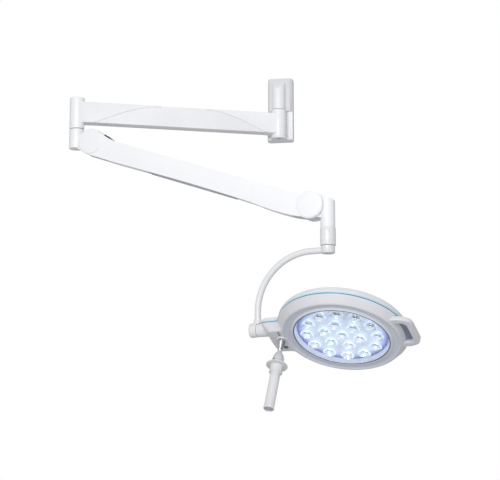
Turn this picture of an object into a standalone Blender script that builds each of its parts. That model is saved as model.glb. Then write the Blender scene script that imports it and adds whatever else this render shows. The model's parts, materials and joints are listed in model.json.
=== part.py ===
"""Wall-mounted surgical light: a wall bracket, a swivelling extension arm, a counterbalanced spring arm
and a tilting round lamp head with a sterile handle."""
import math

import bmesh
import bpy
from mathutils import Matrix, Vector

# ---- driving dimensions, metres and degrees ----
FIT = 0.0003                 # gap between pieces that touch or slide
SHAFT_R = 0.0090             # swivel shafts
BUSH_WALL = 0.0029
BUSH_LENGTH = 0.0450
WASHER_THICK = 0.0014        # swivel gaps, filled by the flanges of the bushes
PIN_R = 0.0080               # lift pins
BRAKE_SCREW_R = 0.0042

PLATE_WIDTH = 0.0980
PLATE_TOP = 0.1235           # height of the wall plate above the datum
PLATE_THICK = 0.0080
PLATE_SCREW_X = 0.0310
PLATE_SCREW_Z = 0.0920
PLATE_SCREW_R = 0.0058
CABLE_HOLE_R = 0.0110
WALL_AXIS_DEPTH = 0.0680     # wall to the first swivel axis
HOUSING_DEPTH = 0.0360       # back body beside the arm column
NOSE_R = 0.0245              # rounded nose above the column
FOOT_NOSE_R = 0.0300          # rounded nose of the plate under the column
FLOOR_THICK = 0.0057         # lower bracket plate
COLUMN_R = 0.0278
COLUMN_TOP = -0.0105
COLUMN_WALL_BELOW = 0.0110   # how far each column reaches below the beam
COLUMN_ELBOW_BELOW = 0.0235

EXT_LENGTH = 0.7779          # wall axis to elbow axis
BEAM_TOP = -0.0275
BEAM_HEIGHT = 0.0790
BEAM_HALF = 0.0255
TUBE_HALF = 0.0165           # inner beam tube, half width
TUBE_WALL = 0.0025
TUBE_START = 0.0345          # from each column's axis
SPLIT_WALL_TIP = 0.2900      # tapered tongues of the two castings, from their own axes
SPLIT_WALL_ROOT = 0.0500
SPLIT_ELBOW_TIP = 0.3149
SPLIT_ELBOW_ROOT = 0.0559

ELBOW_OFFSET = 0.0743        # elbow axis to lift pivot
PIVOT_DROP = 0.0603          # elbow gap to lift pivot
KNUCKLE_FOOT = 0.0157        # lift pivot to the knuckle's lower end
TONGUE_HALF = 0.0190
TONGUE_R = 0.0360
SPRING_LENGTH = 0.9100       # lift pivot to lamp knuckle pivot
DISK_R = 0.0490
ARM_HALF = 0.0340
ARM_TOP = 0.0250
ARM_BOTTOM = -0.0470
ARM_WALL = 0.0040
CAP_INSET = 0.0025
CAP_PROUD = 0.0032
STRIP_LOW = 0.2620
STRIP_HIGH = 0.6200
STRIP_HALF = 0.0190
ROD_DROP = 0.0220
ROD_R = 0.0040
ROD_PIN_R = 0.0030
SPRING_Z = 0.0055
SPRING_START = 0.1350
SPRING_END = 0.6000
SPRING_R = 0.0108
WIRE_R = 0.0015
COIL_TURNS = 9
COIL_STEPS = 8
GUIDE_R = 0.0045

LAMP_OFFSET = 0.0576         # lamp knuckle pivot to lamp swivel axis
DOWN_TUBE_R = 0.0257
SLEEVE_R = 0.0274
SLEEVE_TOP = -0.0820
SLEEVE_BOTTOM = -0.1445
HUB_R = 0.0243
HUB_BOTTOM = -0.1725
BOW_Z = -0.1597
BOW_TUBE_R = 0.0112
BOW_WALL = 0.0022
BOW_STRAIGHT = 0.0621
BOW_RADIUS = 0.2030
BOW_SIDES = 12
BOW_STEPS = 12
TILT_Z = -0.4280
TILT_KNUCKLE_R = 0.0250
TILT_KNUCKLE_LENGTH = 0.0270
STUB_R = 0.0243

RIM_R = 0.2063               # lower edge of the lamp disc
RIM_FLARE = 0.0220           # extra radius at the seam
SEAM_Z = 0.0296
SHELL_WALL = 0.0030
WING_REACH = 0.0482          # arm-side block past the rim
WING_FLARE = 0.0245
WING_HALF_LOW = 0.0640
WING_HALF_HIGH = 0.0780
WING_FLOOR = 0.0040
TILT_REACH = 0.1141          # rim to tilt joint
DISC_Z = -0.0518
TRIM_HEIGHT = 0.0075
COVER_RISE = 0.0780
BEZEL_WIDTH = 0.0278
LENS_BORDER = 0.0130
LED_R = 0.0235
LED_RING_INNER = 0.0620
LED_RING_OUTER = 0.1230
GRIP_REACH = 0.0602          # rim to the outside of the side grip
GRIP_HALF = 0.0820
GRIP_WIDTH = 0.0220
GRIP_LOW = 0.0050
GRIP_HIGH = 0.0220
GRIP_WEB = 0.0034             # closed top of the finger recess
POWER_R = 0.0085
POWER_REACH = 0.0127         # controls and handle past the rim
POWER_Y = 0.0380
KEY_R = 0.0042
KEY_REACH = 0.0092
KEY_Y = -0.0460
KEY_SPACING = 0.0130

HANDLE_REACH = 0.0097
HANDLE_Y = -0.0120
SOCKET_R = 0.0060            # central bore of the handle pieces
ADAPTER_R = 0.0150
ADAPTER_TIP = -0.0470
DOME_R = 0.0205
FLANGE_R = 0.0378
GRIP_R = 0.0186
GRIP_WALL = 0.0041
HANDLE_END = -0.2810
CATCH_R = 0.0034
CATCH_TURN = -112.0
CATCH_Z = -0.0905

REST_WALL = 202.872          # direction of the extension arm
REST_ELBOW = 145.542         # spring arm against extension arm
REST_LIFT = 19.6145          # spring arm below level
REST_LAMP = -1.305
REST_TILT = -26.111

SEGMENTS = 40
RING_SEGMENTS = 96
ROUNDNESS = 0.40             # share of the named segment counts that is used

# ---- sizes that follow ----
BORE_R = SHAFT_R + BUSH_WALL + 2 * FIT
BEAM_BOTTOM = BEAM_TOP - BEAM_HEIGHT
TUBE_TOP = BEAM_TOP - 0.0125
TUBE_BOTTOM = BEAM_BOTTOM + 0.0105
WALL_COLUMN_BOTTOM = BEAM_BOTTOM - COLUMN_WALL_BELOW
ELBOW_COLUMN_BOTTOM = BEAM_BOTTOM - COLUMN_ELBOW_BELOW
PLATE_LOW = WALL_COLUMN_BOTTOM - FIT - FLOOR_THICK
PIVOT_Z = ELBOW_COLUMN_BOTTOM - PIVOT_DROP
KNUCKLE_BOTTOM = PIVOT_Z - KNUCKLE_FOOT
SLOT_HALF = TONGUE_HALF + 0.0015
CAP_R = DISK_R - CAP_INSET
SEAM_R = RIM_R + RIM_FLARE
WING_END_LOW = RIM_R + WING_REACH
WING_END_HIGH = WING_END_LOW + WING_FLARE
DISC_X = RIM_R + TILT_REACH
BEZEL_INNER_R = RIM_R - BEZEL_WIDTH
LENS_R = BEZEL_INNER_R - LENS_BORDER
ARRAY_R = LENS_R - 0.0095
GRIP_OUT = RIM_R + GRIP_REACH
HANDLE_X = -RIM_R - HANDLE_REACH


# ---- materials ----
def material(name, colour, rough, metal=0.0, **extra):
    mat = bpy.data.materials.new(name)
    mat.use_nodes = True
    shader = mat.node_tree.nodes["Principled BSDF"]
    shader.inputs["Base Color"].default_value = (*colour, 1.0)
    shader.inputs["Roughness"].default_value = rough
    shader.inputs["Metallic"].default_value = metal
    for key, value in extra.items():
        shader.inputs[key.replace("_", " ")].default_value = value
    return mat


for old in list(bpy.data.objects):
    bpy.data.objects.remove(old, do_unlink=True)

COLOURS = {
    "white": ((0.86, 0.87, 0.88), 0.32, 0.0),
    "warm_white": ((0.80, 0.80, 0.82), 0.38, 0.0),
    "grey": ((0.32, 0.34, 0.38), 0.45, 0.0),
    "dark": ((0.03, 0.03, 0.035), 0.55, 0.0),
    "steel": ((0.56, 0.56, 0.58), 0.30, 1.0),
    "chrome": ((0.80, 0.80, 0.82), 0.08, 1.0),
    "alloy": ((0.66, 0.67, 0.69), 0.35, 1.0),
    "bronze": ((0.50, 0.33, 0.14), 0.35, 1.0),
    "blue": ((0.25, 0.62, 0.85), 0.25, 0.0),
    "board": ((0.05, 0.22, 0.12), 0.50, 0.0),
    "clear": ((0.95, 0.98, 1.00), 0.05, 0.0),
}


# ---- helpers ----
def finish(name, bm, look, parent=None, place=(0, 0, 0), turn=(0, 0, 0), smooth=True):
    bmesh.ops.remove_doubles(bm, verts=bm.verts, dist=1e-7)
    bmesh.ops.recalc_face_normals(bm, faces=bm.faces)
    mesh = bpy.data.meshes.new(name)
    bm.to_mesh(mesh)
    bm.free()
    colour, rough, metal = COLOURS[look]
    extra = {"Transmission_Weight": 0.9, "IOR": 1.49} if look == "clear" else {}
    mesh.materials.append(material(name + "_look", colour, rough, metal, **extra))
    if smooth:
        mesh.polygons.foreach_set("use_smooth", [True] * len(mesh.polygons))
        mesh.set_sharp_from_angle(angle=math.radians(35))
    obj = bpy.data.objects.new(name, mesh)
    bpy.context.scene.collection.objects.link(obj)
    obj.parent = parent
    obj.location = place
    obj.rotation_euler = [math.radians(a) for a in turn]
    return obj


def axis(name, parent, place, turn=(0, 0, 0)):
    empty = bpy.data.objects.new(name, None)
    bpy.context.scene.collection.objects.link(empty)
    empty.parent = parent
    empty.location = place
    empty.rotation_euler = [math.radians(a) for a in turn]
    return empty


def lathe_mesh(profile, segments=SEGMENTS):
    """Turns a closed (radius, height) profile about Z."""
    segments = max(10, 2 * round(segments * ROUNDNESS / 2))
    bm = bmesh.new()
    verts = [bm.verts.new((r, 0.0, z)) for r, z in profile]
    edges = [bm.edges.new((verts[i], verts[(i + 1) % len(verts)])) for i in range(len(verts))]
    edges = [e for e in edges if max(v.co.x for v in e.verts) > 1e-9]
    bmesh.ops.spin(bm, geom=verts + edges, cent=(0, 0, 0), axis=(0, 0, 1),
                   angle=2 * math.pi, steps=segments, use_merge=True, use_duplicate=False)
    bmesh.ops.remove_doubles(bm, verts=bm.verts, dist=5e-6)
    loose = [e for e in bm.edges if not e.link_faces]
    bmesh.ops.delete(bm, geom=loose, context="EDGES")
    return bm


def cone_mesh(r_low, r_high, z_low, z_high, segments):
    bm = bmesh.new()
    bmesh.ops.create_cone(bm, cap_ends=True, segments=max(10, 2 * round(segments * ROUNDNESS / 2)),
                          radius1=r_low, radius2=r_high, depth=z_high - z_low)
    bmesh.ops.rotate(bm, verts=bm.verts, cent=(0, 0, 0), matrix=Matrix.Rotation(-math.pi / 2, 3, "Z"))
    bmesh.ops.translate(bm, verts=bm.verts, vec=(0, 0, (z_low + z_high) / 2))
    return bm


def rod_mesh(radius, low, high, segments=SEGMENTS, edge=0.0008):
    if not edge:
        return cone_mesh(radius, radius, low, high, segments)
    return lathe_mesh([(0, low), (radius - edge, low), (radius, low + edge),
                       (radius, high - edge), (radius - edge, high), (0, high)], segments)


def tube_mesh(outer, inner, low, high, segments=SEGMENTS):
    return lathe_mesh([(inner, low), (outer, low), (outer, high), (inner, high)], segments)


def prism_mesh(outline, low, high, bevel=0.0, plane="XZ"):
    """A flat outline carried across the third direction, its rims rounded."""
    bm = bmesh.new()
    if plane == "XZ":
        verts = [bm.verts.new((a, low, b)) for a, b in outline]
        shift = Vector((0, high - low, 0))
    else:
        verts = [bm.verts.new((a, b, low)) for a, b in outline]
        shift = Vector((0, 0, high - low))
    face = bm.faces.new(verts)
    out = bmesh.ops.extrude_face_region(bm, geom=[face])
    moved = [v for v in out["geom"] if isinstance(v, bmesh.types.BMVert)]
    bmesh.ops.translate(bm, verts=moved, vec=shift)
    bmesh.ops.recalc_face_normals(bm, faces=bm.faces)
    if bevel:
        caps = [f for f in bm.faces if len(f.verts) == len(outline)]
        rims = list({e for f in caps for e in f.edges})
        bmesh.ops.bevel(bm, geom=rims, offset=bevel, segments=1, affect="EDGES", profile=0.6)
    return bm


def box_mesh(low, high, bevel=0.0):
    bm = bmesh.new()
    bmesh.ops.create_cube(bm, size=1.0)
    size = Vector(high) - Vector(low)
    bmesh.ops.scale(bm, vec=size, verts=bm.verts)
    bmesh.ops.translate(bm, verts=bm.verts, vec=(Vector(low) + Vector(high)) / 2)
    if bevel:
        bmesh.ops.bevel(bm, geom=bm.edges[:], offset=bevel, segments=2, affect="EDGES", profile=0.6)
    return bm


def arc(cx, cy, radius, start, end, steps):
    """Points on an arc, angles in degrees."""
    turns = [math.radians(start + (end - start) * i / steps) for i in range(steps + 1)]
    return [(cx + radius * math.cos(t), cy + radius * math.sin(t)) for t in turns]


def rounded(low, high, radius, steps=5):
    """A rectangle with rounded corners, going round anticlockwise."""
    (x0, y0), (x1, y1) = low, high
    return (arc(x1 - radius, y0 + radius, radius, -90, 0, steps)
            + arc(x1 - radius, y1 - radius, radius, 0, 90, steps)
            + arc(x0 + radius, y1 - radius, radius, 90, 180, steps)
            + arc(x0 + radius, y0 + radius, radius, 180, 270, steps))


def turned(bm, x=0.0, y=0.0, z=0.0, move=(0, 0, 0)):
    matrix = (Matrix.Translation(Vector(move)) @ Matrix.Rotation(math.radians(z), 4, "Z")
              @ Matrix.Rotation(math.radians(y), 4, "Y") @ Matrix.Rotation(math.radians(x), 4, "X"))
    bmesh.ops.transform(bm, matrix=matrix, verts=bm.verts)
    return bm


def combined(*parts):
    """Several closed meshes that do not touch, in one cutter."""
    whole = bmesh.new()
    for part in parts:
        mesh = bpy.data.meshes.new("temporary")
        part.to_mesh(mesh)
        part.free()
        whole.from_mesh(mesh)
        bpy.data.meshes.remove(mesh)
    return whole


def boolean(obj, bm, operation="DIFFERENCE"):
    """Joins or cuts obj with a mesh given in obj's own frame."""
    bmesh.ops.recalc_face_normals(bm, faces=bm.faces)
    mesh = bpy.data.meshes.new(obj.name + "_tool")
    bm.to_mesh(mesh)
    bm.free()
    count = sum(m.type == "BOOLEAN" for m in obj.modifiers)
    tool = bpy.data.objects.new(f"{obj.name}_tool_{count}", mesh)
    bpy.context.scene.collection.objects.link(tool)
    tool.parent = obj
    tool.hide_render = True
    tool.display_type = "WIRE"
    mod = obj.modifiers.new(f"bool_{count}", "BOOLEAN")
    mod.operation = operation
    mod.solver = "EXACT"
    mod.object = tool
    return obj


def screw(name, parent, place, turn, radius=0.0045, length=0.018, look="steel"):
    """Cap screw, head up at its own origin, with a round drive recess."""
    shank = radius * 0.52
    head = radius * 0.95
    bm = lathe_mesh([(0, -length), (shank * 0.7, -length), (shank, -length + 0.001), (shank, -head),
                     (radius, -head), (radius, -0.0005), (radius - 0.0005, 0.0), (radius * 0.55, 0.0),
                     (radius * 0.55, -head * 0.6), (0, -head * 0.6)], 16)
    return finish(name, bm, look, parent, place, turn)


# ---- joint frames ----
wall_swivel = axis("axis_wall_swivel", None, (0, -WALL_AXIS_DEPTH, 0), (0, 0, REST_WALL))
elbow_swivel = axis("axis_elbow_swivel", wall_swivel, (EXT_LENGTH, 0, 0), (0, 0, REST_ELBOW))
arm_lift = axis("axis_arm_lift", elbow_swivel, (ELBOW_OFFSET, 0, PIVOT_Z), (0, REST_LIFT, 0))
rod_swing = axis("axis_rod_swing", elbow_swivel, (ELBOW_OFFSET, 0, PIVOT_Z - ROD_DROP), (0, REST_LIFT, 0))
lamp_level = axis("axis_lamp_level", arm_lift, (SPRING_LENGTH, 0, 0), (0, -REST_LIFT, 0))
lamp_swivel = axis("axis_lamp_swivel", lamp_level, (LAMP_OFFSET, 0, 0), (0, 0, REST_LAMP))
head_tilt = axis("axis_head_tilt", lamp_swivel, (-BOW_STRAIGHT - BOW_RADIUS, 0, TILT_Z), (REST_TILT, 0, 0))
disc = axis("head_centre", head_tilt, (DISC_X, 0, DISC_Z))
handle_twist = axis("axis_handle_twist", disc, (HANDLE_X, HANDLE_Y, 0))


# ---- wall bracket ----
half_w = PLATE_WIDTH / 2
plate = finish("wall_plate", prism_mesh(rounded((-half_w, PLATE_LOW), (half_w, PLATE_TOP), 0.007),
                                        -PLATE_THICK, 0.0, 0.0012), "warm_white")
shank_bore = PLATE_SCREW_R * 0.52 + FIT * 1.3
holes = [turned(rod_mesh(shank_bore, -0.02, 0.02, 20, 0.0), x=90,
                move=(sx * PLATE_SCREW_X, 0, sz * PLATE_SCREW_Z))
         for sx in (-1, 1) for sz in (-1, 1)]
cable_hole = turned(rod_mesh(CABLE_HOLE_R, -0.02, 0.02, 24, 0.0), x=90, move=(0, 0, 0.060))
boolean(plate, combined(*holes, cable_hole))
screw_face = -PLATE_THICK - FIT - PLATE_SCREW_R * 0.95
for number, (sx, sz) in enumerate([(-1, 1), (1, 1), (-1, -1), (1, -1)], 1):
    screw(f"wall_screw_{number}", None, (sx * PLATE_SCREW_X, screw_face, sz * PLATE_SCREW_Z),
          (90, 0, 0), PLATE_SCREW_R, 0.0138)

# upper housing: plan outline flares from the nose to the plate
front = -WALL_AXIS_DEPTH
flare = ([(half_w, -PLATE_THICK - FIT), (half_w, -0.022), (0.040, -0.046)]
         + arc(0, front, NOSE_R, 20, -200, 16)
         + [(-0.040, -0.046), (-half_w, -0.022), (-half_w, -PLATE_THICK - FIT)])
upper_low = COLUMN_TOP + WASHER_THICK
upper = finish("housing_upper", prism_mesh(flare, upper_low, PLATE_TOP, 0.0, "XY"), "white")
slope = [(-0.20, 0.060), (-0.0935, 0.060), (-0.044, PLATE_TOP - 0.002), (-0.044, 0.30), (-0.20, 0.30)]
boolean(upper, turned(prism_mesh(slope, -0.1, 0.1), z=90))
pocket = [(-0.040, -0.005), (0.040, -0.005), (0.040, -0.024), (0.018, -0.040), (-0.018, -0.040),
          (-0.040, -0.024)]
boolean(upper, prism_mesh(pocket, upper_low + 0.006, PLATE_TOP - 0.008, 0.0, "XY"))
boolean(upper, turned(rod_mesh(SHAFT_R + FIT, -0.05, 0.040, SEGMENTS, 0.0), move=(0, front, 0)))

# lower housing: body behind the column, bottom plate below it
lower_top = upper_low - FIT
lower = finish("housing_lower", box_mesh((-half_w, -HOUSING_DEPTH, PLATE_LOW),
                                         (half_w, -PLATE_THICK - FIT, lower_top)),
               "white")
nose_low = ([(half_w - 0.002, -0.010), (half_w, -0.034), (0.0435, -0.0480)]
            + arc(0, front, FOOT_NOSE_R, 25, -205, 18)
            + [(-0.0435, -0.0480), (-half_w, -0.034), (-half_w + 0.002, -0.010)])
boolean(lower, prism_mesh(nose_low, PLATE_LOW, WALL_COLUMN_BOTTOM - FIT, 0.0, "XY"), "UNION")
seat = rod_mesh(COLUMN_R + 0.0022, WALL_COLUMN_BOTTOM - FIT - 0.0002, 0.05, 40, 0.0)
boolean(lower, turned(seat, move=(0, front, 0)))
boolean(lower, box_mesh((-half_w + 0.008, -HOUSING_DEPTH + 0.009, PLATE_LOW + 0.010),
                        (half_w - 0.008, 0.0, lower_top - 0.008)))
boolean(lower, turned(rod_mesh(SHAFT_R + FIT, -0.20, -0.05, SEGMENTS, 0.0), move=(0, front, 0)))

finish("wall_shaft", rod_mesh(SHAFT_R, PLATE_LOW + 0.0005, 0.0395), "steel", None, (0, front, 0))


# ---- extension arm ----
def split_curve(root, tip, count=10):
    """The curved joint line between an end casting and the middle cover."""
    points = []
    for i in range(count + 1):
        t = i / count
        z = BEAM_BOTTOM + (BEAM_TOP - 0.0045 - BEAM_BOTTOM) * math.sin(t * math.pi / 2) ** 1.15
        points.append((root + (tip - root) * t, z))
    return points


wall_split = split_curve(SPLIT_WALL_ROOT, SPLIT_WALL_TIP)
elbow_root = EXT_LENGTH - SPLIT_ELBOW_ROOT
elbow_tip = EXT_LENGTH - SPLIT_ELBOW_TIP
elbow_split = split_curve(elbow_root, elbow_tip)


def beam_channel(low_x, high_x, slack=FIT):
    return box_mesh((low_x, -TUBE_HALF - slack, TUBE_BOTTOM - slack),
                    (high_x, TUBE_HALF + slack, TUBE_TOP + slack))


def casting(name, column_x, outline, bottom, channel):
    body = finish(name, prism_mesh(outline, -BEAM_HALF, BEAM_HALF, 0.0018), "white", wall_swivel)
    column = turned(rod_mesh(COLUMN_R, bottom, COLUMN_TOP, 48, 0.0018), move=(column_x, 0, 0))
    boolean(body, column, "UNION")
    bore_top = 0.1 if column_x == 0.0 else COLUMN_TOP - 0.006
    bore = turned(rod_mesh(BORE_R, -0.2, bore_top, SEGMENTS, 0.0), move=(column_x, 0, 0))
    return boolean(body, combined(bore, beam_channel(*channel)))


wall_outline = ([(0.0065, BEAM_TOP), (0.0065, BEAM_BOTTOM)] + wall_split + [(SPLIT_WALL_TIP, BEAM_TOP)])
casting("extension_casting_wall", 0.0, wall_outline, WALL_COLUMN_BOTTOM,
        (TUBE_START - 0.0005, SPLIT_WALL_TIP + 0.1))
elbow_outline = ([(EXT_LENGTH - 0.0065, BEAM_TOP), (EXT_LENGTH - 0.0065, BEAM_BOTTOM)] + elbow_split
                 + [(elbow_tip, BEAM_TOP)])
casting("extension_casting_elbow", EXT_LENGTH, elbow_outline, ELBOW_COLUMN_BOTTOM,
        (elbow_tip - 0.05, EXT_LENGTH - TUBE_START + 0.0005))


def slid(points, dx, dz):
    return [(x + dx, z + dz) for x, z in points]


cover_outline = (slid(wall_split, FIT * 1.5, -FIT)[1:] + [(SPLIT_WALL_TIP + FIT * 1.5, BEAM_TOP - 0.0012),
                 (elbow_tip - FIT * 1.5, BEAM_TOP - 0.0012)] + slid(elbow_split, -FIT * 1.5, -FIT)[:0:-1]
                 + [(elbow_root - 0.004, BEAM_BOTTOM + 0.0008), (SPLIT_WALL_ROOT + 0.004, BEAM_BOTTOM
                                                                 + 0.0008)])
cover = finish("extension_cover", prism_mesh(cover_outline, -BEAM_HALF + 0.0006, BEAM_HALF - 0.0006), "white",
               wall_swivel)
boolean(cover, beam_channel(-0.1, EXT_LENGTH + 0.1))
tube = finish("extension_tube", box_mesh((TUBE_START, -TUBE_HALF, TUBE_BOTTOM),
                                         (EXT_LENGTH - TUBE_START, TUBE_HALF, TUBE_TOP)),
              "alloy", wall_swivel)
boolean(tube, box_mesh((0.0, -TUBE_HALF + TUBE_WALL, TUBE_BOTTOM + TUBE_WALL),
                       (EXT_LENGTH + 0.1, TUBE_HALF - TUBE_WALL, TUBE_TOP - TUBE_WALL)))


def bush(name, parent, place, face, washer_r, up):
    """Flanged bush: the sleeve sits in the bore above or below face, the flange fills the swivel gap."""
    gap = WASHER_THICK - FIT
    reach = face + BUSH_LENGTH * up
    inner = face - FIT * up
    outer = face - gap * up
    return finish(name, lathe_mesh([(SHAFT_R + FIT, reach), (BORE_R - FIT, reach), (BORE_R - FIT, inner),
                                    (washer_r, inner), (washer_r, outer), (SHAFT_R + FIT, outer)]),
                  "dark", parent, place)


bush("wall_bush", wall_swivel, (0, 0, 0), COLUMN_TOP, COLUMN_R - 0.003, -1)
bush("elbow_bush", wall_swivel, (EXT_LENGTH, 0, 0), ELBOW_COLUMN_BOTTOM, COLUMN_R - 0.003, 1)

# ---- elbow knuckle ----
knuckle_top = ELBOW_COLUMN_BOTTOM - WASHER_THICK
finish("elbow_shaft", rod_mesh(SHAFT_R, knuckle_top - 0.050, COLUMN_TOP - 0.0085), "steel", elbow_swivel)
knuckle = finish("elbow_knuckle", rod_mesh(COLUMN_R, KNUCKLE_BOTTOM, knuckle_top, 48, 0.003), "white",
                 elbow_swivel)
tongue = ([(0.0, PIVOT_Z + 0.0353), (0.0, PIVOT_Z - 0.012), (0.040, PIVOT_Z - 0.034)]
          + arc(ELBOW_OFFSET, PIVOT_Z, TONGUE_R, -105, 60, 12) + [(ELBOW_OFFSET - 0.02, PIVOT_Z + 0.0353)])
boolean(knuckle, prism_mesh(tongue, -TONGUE_HALF, TONGUE_HALF, 0.002), "UNION")
boolean(knuckle, rod_mesh(SHAFT_R + FIT, knuckle_top - 0.0505, 0.0, SEGMENTS, 0.0))
rod_slot = [(-0.0125, -0.0100), (0.0085, -0.0100), (0.0122, -0.0074), (0.0125, 0.060), (0.060, 0.060),
            (0.060, -0.060), (-0.0125, -0.060)]
boolean(knuckle, turned(prism_mesh(rod_slot, -0.0062, 0.0062), move=(ELBOW_OFFSET, 0, PIVOT_Z)))
pin_bores = combined(turned(rod_mesh(PIN_R + FIT, -0.05, 0.05, 32, 0.0), x=90,
                            move=(ELBOW_OFFSET, 0, PIVOT_Z)),
                     turned(rod_mesh(ROD_PIN_R + FIT, -0.05, 0.05, 20, 0.0), x=90,
                            move=(ELBOW_OFFSET, 0, PIVOT_Z - ROD_DROP)))
boolean(knuckle, pin_bores)
brake_z = PIVOT_Z + 0.0183
screw("elbow_brake_screw", elbow_swivel, (-COLUMN_R - 0.0006, 0, brake_z), (0, -90, 0), BRAKE_SCREW_R, 0.0165)
brake_bore = turned(rod_mesh(BRAKE_SCREW_R + FIT, -COLUMN_R - 0.0022, -COLUMN_R + 0.0163, 20, 0.0), y=90,
                    move=(0, 0, brake_z))
boolean(knuckle, brake_bore)
finish("lift_pin", rod_mesh(PIN_R, -ARM_HALF + 0.0005, ARM_HALF - 0.0005, 32), "steel", elbow_swivel,
       (ELBOW_OFFSET, 0, PIVOT_Z), (90, 0, 0))

# ---- spring arm ----
L = SPRING_LENGTH
arm_outline = (arc(0, 0, DISK_R, 262, 62, 14)
               + [(0.040, ARM_TOP + 0.0135), (0.060, ARM_TOP + 0.0060), (0.090, ARM_TOP + 0.0010),
                  (0.130, ARM_TOP),
                  (L - 0.070, ARM_TOP + 0.0010), (L - 0.044, ARM_TOP + 0.0040)]
               + arc(L, 0, DISK_R, 140, -112, 16)
               + [(L - 0.050, ARM_BOTTOM - 0.0055), (L - 0.110, ARM_BOTTOM - 0.0075),
                  (L - 0.170, ARM_BOTTOM - 0.0060),
                  (L - 0.250, ARM_BOTTOM - 0.0015), (0.400, ARM_BOTTOM + 0.001), (0.130, ARM_BOTTOM - 0.0025),
                  (0.060, ARM_BOTTOM - 0.0020)])
arm = finish("spring_arm_body", prism_mesh(arm_outline, -ARM_HALF, ARM_HALF, 0.005), "white", arm_lift)
slot_left = [(-0.06, -0.06), (0.078, -0.06), (0.078, 0.06), (-0.06, 0.06)]
slot_right = [(L - 0.060, -0.07), (L + 0.06, -0.07), (L + 0.06, 0.06), (L - 0.060, 0.06)]
boolean(arm, combined(prism_mesh(slot_left, -SLOT_HALF, SLOT_HALF),
                      prism_mesh(slot_right, -SLOT_HALF, SLOT_HALF)))
boolean(arm, box_mesh((0.050, -ARM_HALF + ARM_WALL, ARM_BOTTOM + ARM_WALL + 0.001),
                      (L - 0.050, ARM_HALF - ARM_WALL, ARM_TOP - ARM_WALL - 0.0005)))
boolean(arm, box_mesh((STRIP_LOW - FIT, -STRIP_HALF - FIT, ARM_BOTTOM - 0.023),
                      (STRIP_HIGH + FIT, STRIP_HALF + FIT, ARM_BOTTOM + 0.017)))
pin_hole = combined(turned(rod_mesh(PIN_R + FIT, -0.05, 0.05, 32, 0.0), x=90),
                    turned(rod_mesh(PIN_R + FIT, -0.05, 0.05, 32, 0.0), x=90, move=(L, 0, 0)))
boolean(arm, pin_hole)
finish("spring_arm_strip", box_mesh((STRIP_LOW, -STRIP_HALF, ARM_BOTTOM - 0.0035),
                                    (STRIP_HIGH, STRIP_HALF, ARM_BOTTOM + 0.005)),
       "grey", arm_lift)
for end, x in (("elbow", 0.0), ("lamp", L)):
    for side, sign in (("front", 1), ("back", -1)):
        cap = lathe_mesh([(0, FIT), (CAP_R, FIT), (CAP_R, CAP_PROUD - 0.0014), (CAP_R - 0.0016, CAP_PROUD),
                          (0, CAP_PROUD + 0.0012)], 48)
        finish(f"cap_{end}_{side}", cap, "white", arm_lift, (x, sign * ARM_HALF, 0), (-90 * sign, 0, 0))

anchor_half = ARM_HALF - ARM_WALL - 0.0004
finish("spring_anchor", box_mesh((SPRING_START - 0.017, -anchor_half, -0.0065),
                                 (SPRING_START - 0.003, anchor_half,
                                  ARM_TOP - ARM_WALL - 0.0008)), "steel", arm_lift)
guide_start = SPRING_START - 0.002
nut_at = SPRING_END + 0.003 - guide_start
NUT_R = SPRING_R + 0.0007
finish("spring_guide", lathe_mesh([(0, 0), (GUIDE_R, 0), (GUIDE_R, nut_at), (NUT_R, nut_at),
                                   (NUT_R, nut_at + 0.014),
                                   (GUIDE_R, nut_at + 0.014), (GUIDE_R, nut_at + 0.042), (0, nut_at
                                                                                          + 0.042)], 20),
       "steel", arm_lift, (guide_start, 0, SPRING_Z), (0, 90, 0))
coil = bmesh.new()
bmesh.ops.create_circle(coil, cap_ends=True, radius=WIRE_R, segments=4,
                        matrix=Matrix.Translation((SPRING_R, 0, 0)) @ Matrix.Rotation(math.pi / 2, 4, "X"))
pitch = (SPRING_END - SPRING_START - 0.004) / COIL_TURNS
bmesh.ops.spin(coil, geom=coil.faces[:], cent=(0, 0, 0), dvec=(0, 0, pitch / COIL_STEPS), axis=(0, 0, 1),
               angle=2 * math.pi * COIL_TURNS, steps=COIL_TURNS * COIL_STEPS, use_duplicate=False)
finish("coil_spring", coil, "steel", arm_lift, (SPRING_START + 0.002, 0, SPRING_Z), (0, 90, 0))

# ---- parallel rod ----
rod = finish("parallel_rod", turned(rod_mesh(ROD_R, 0.0052, L - 0.0052, 20, 0.0), z=11.0), "steel",
             rod_swing, (0, 0, 0),
             (0, 90, 0))
pin_half = TONGUE_HALF - 0.0015
eye = [(0, -pin_half), (ROD_PIN_R, -pin_half), (ROD_PIN_R, -0.0055), (0.0085, -0.0055), (0.0085, 0.0055),
       (ROD_PIN_R, 0.0055), (ROD_PIN_R, pin_half), (0, pin_half)]
for at in (0.0, L):
    boolean(rod, turned(turned(lathe_mesh(eye, 24), z=5.0), x=90, move=(0, 0, at)), "UNION")

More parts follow.
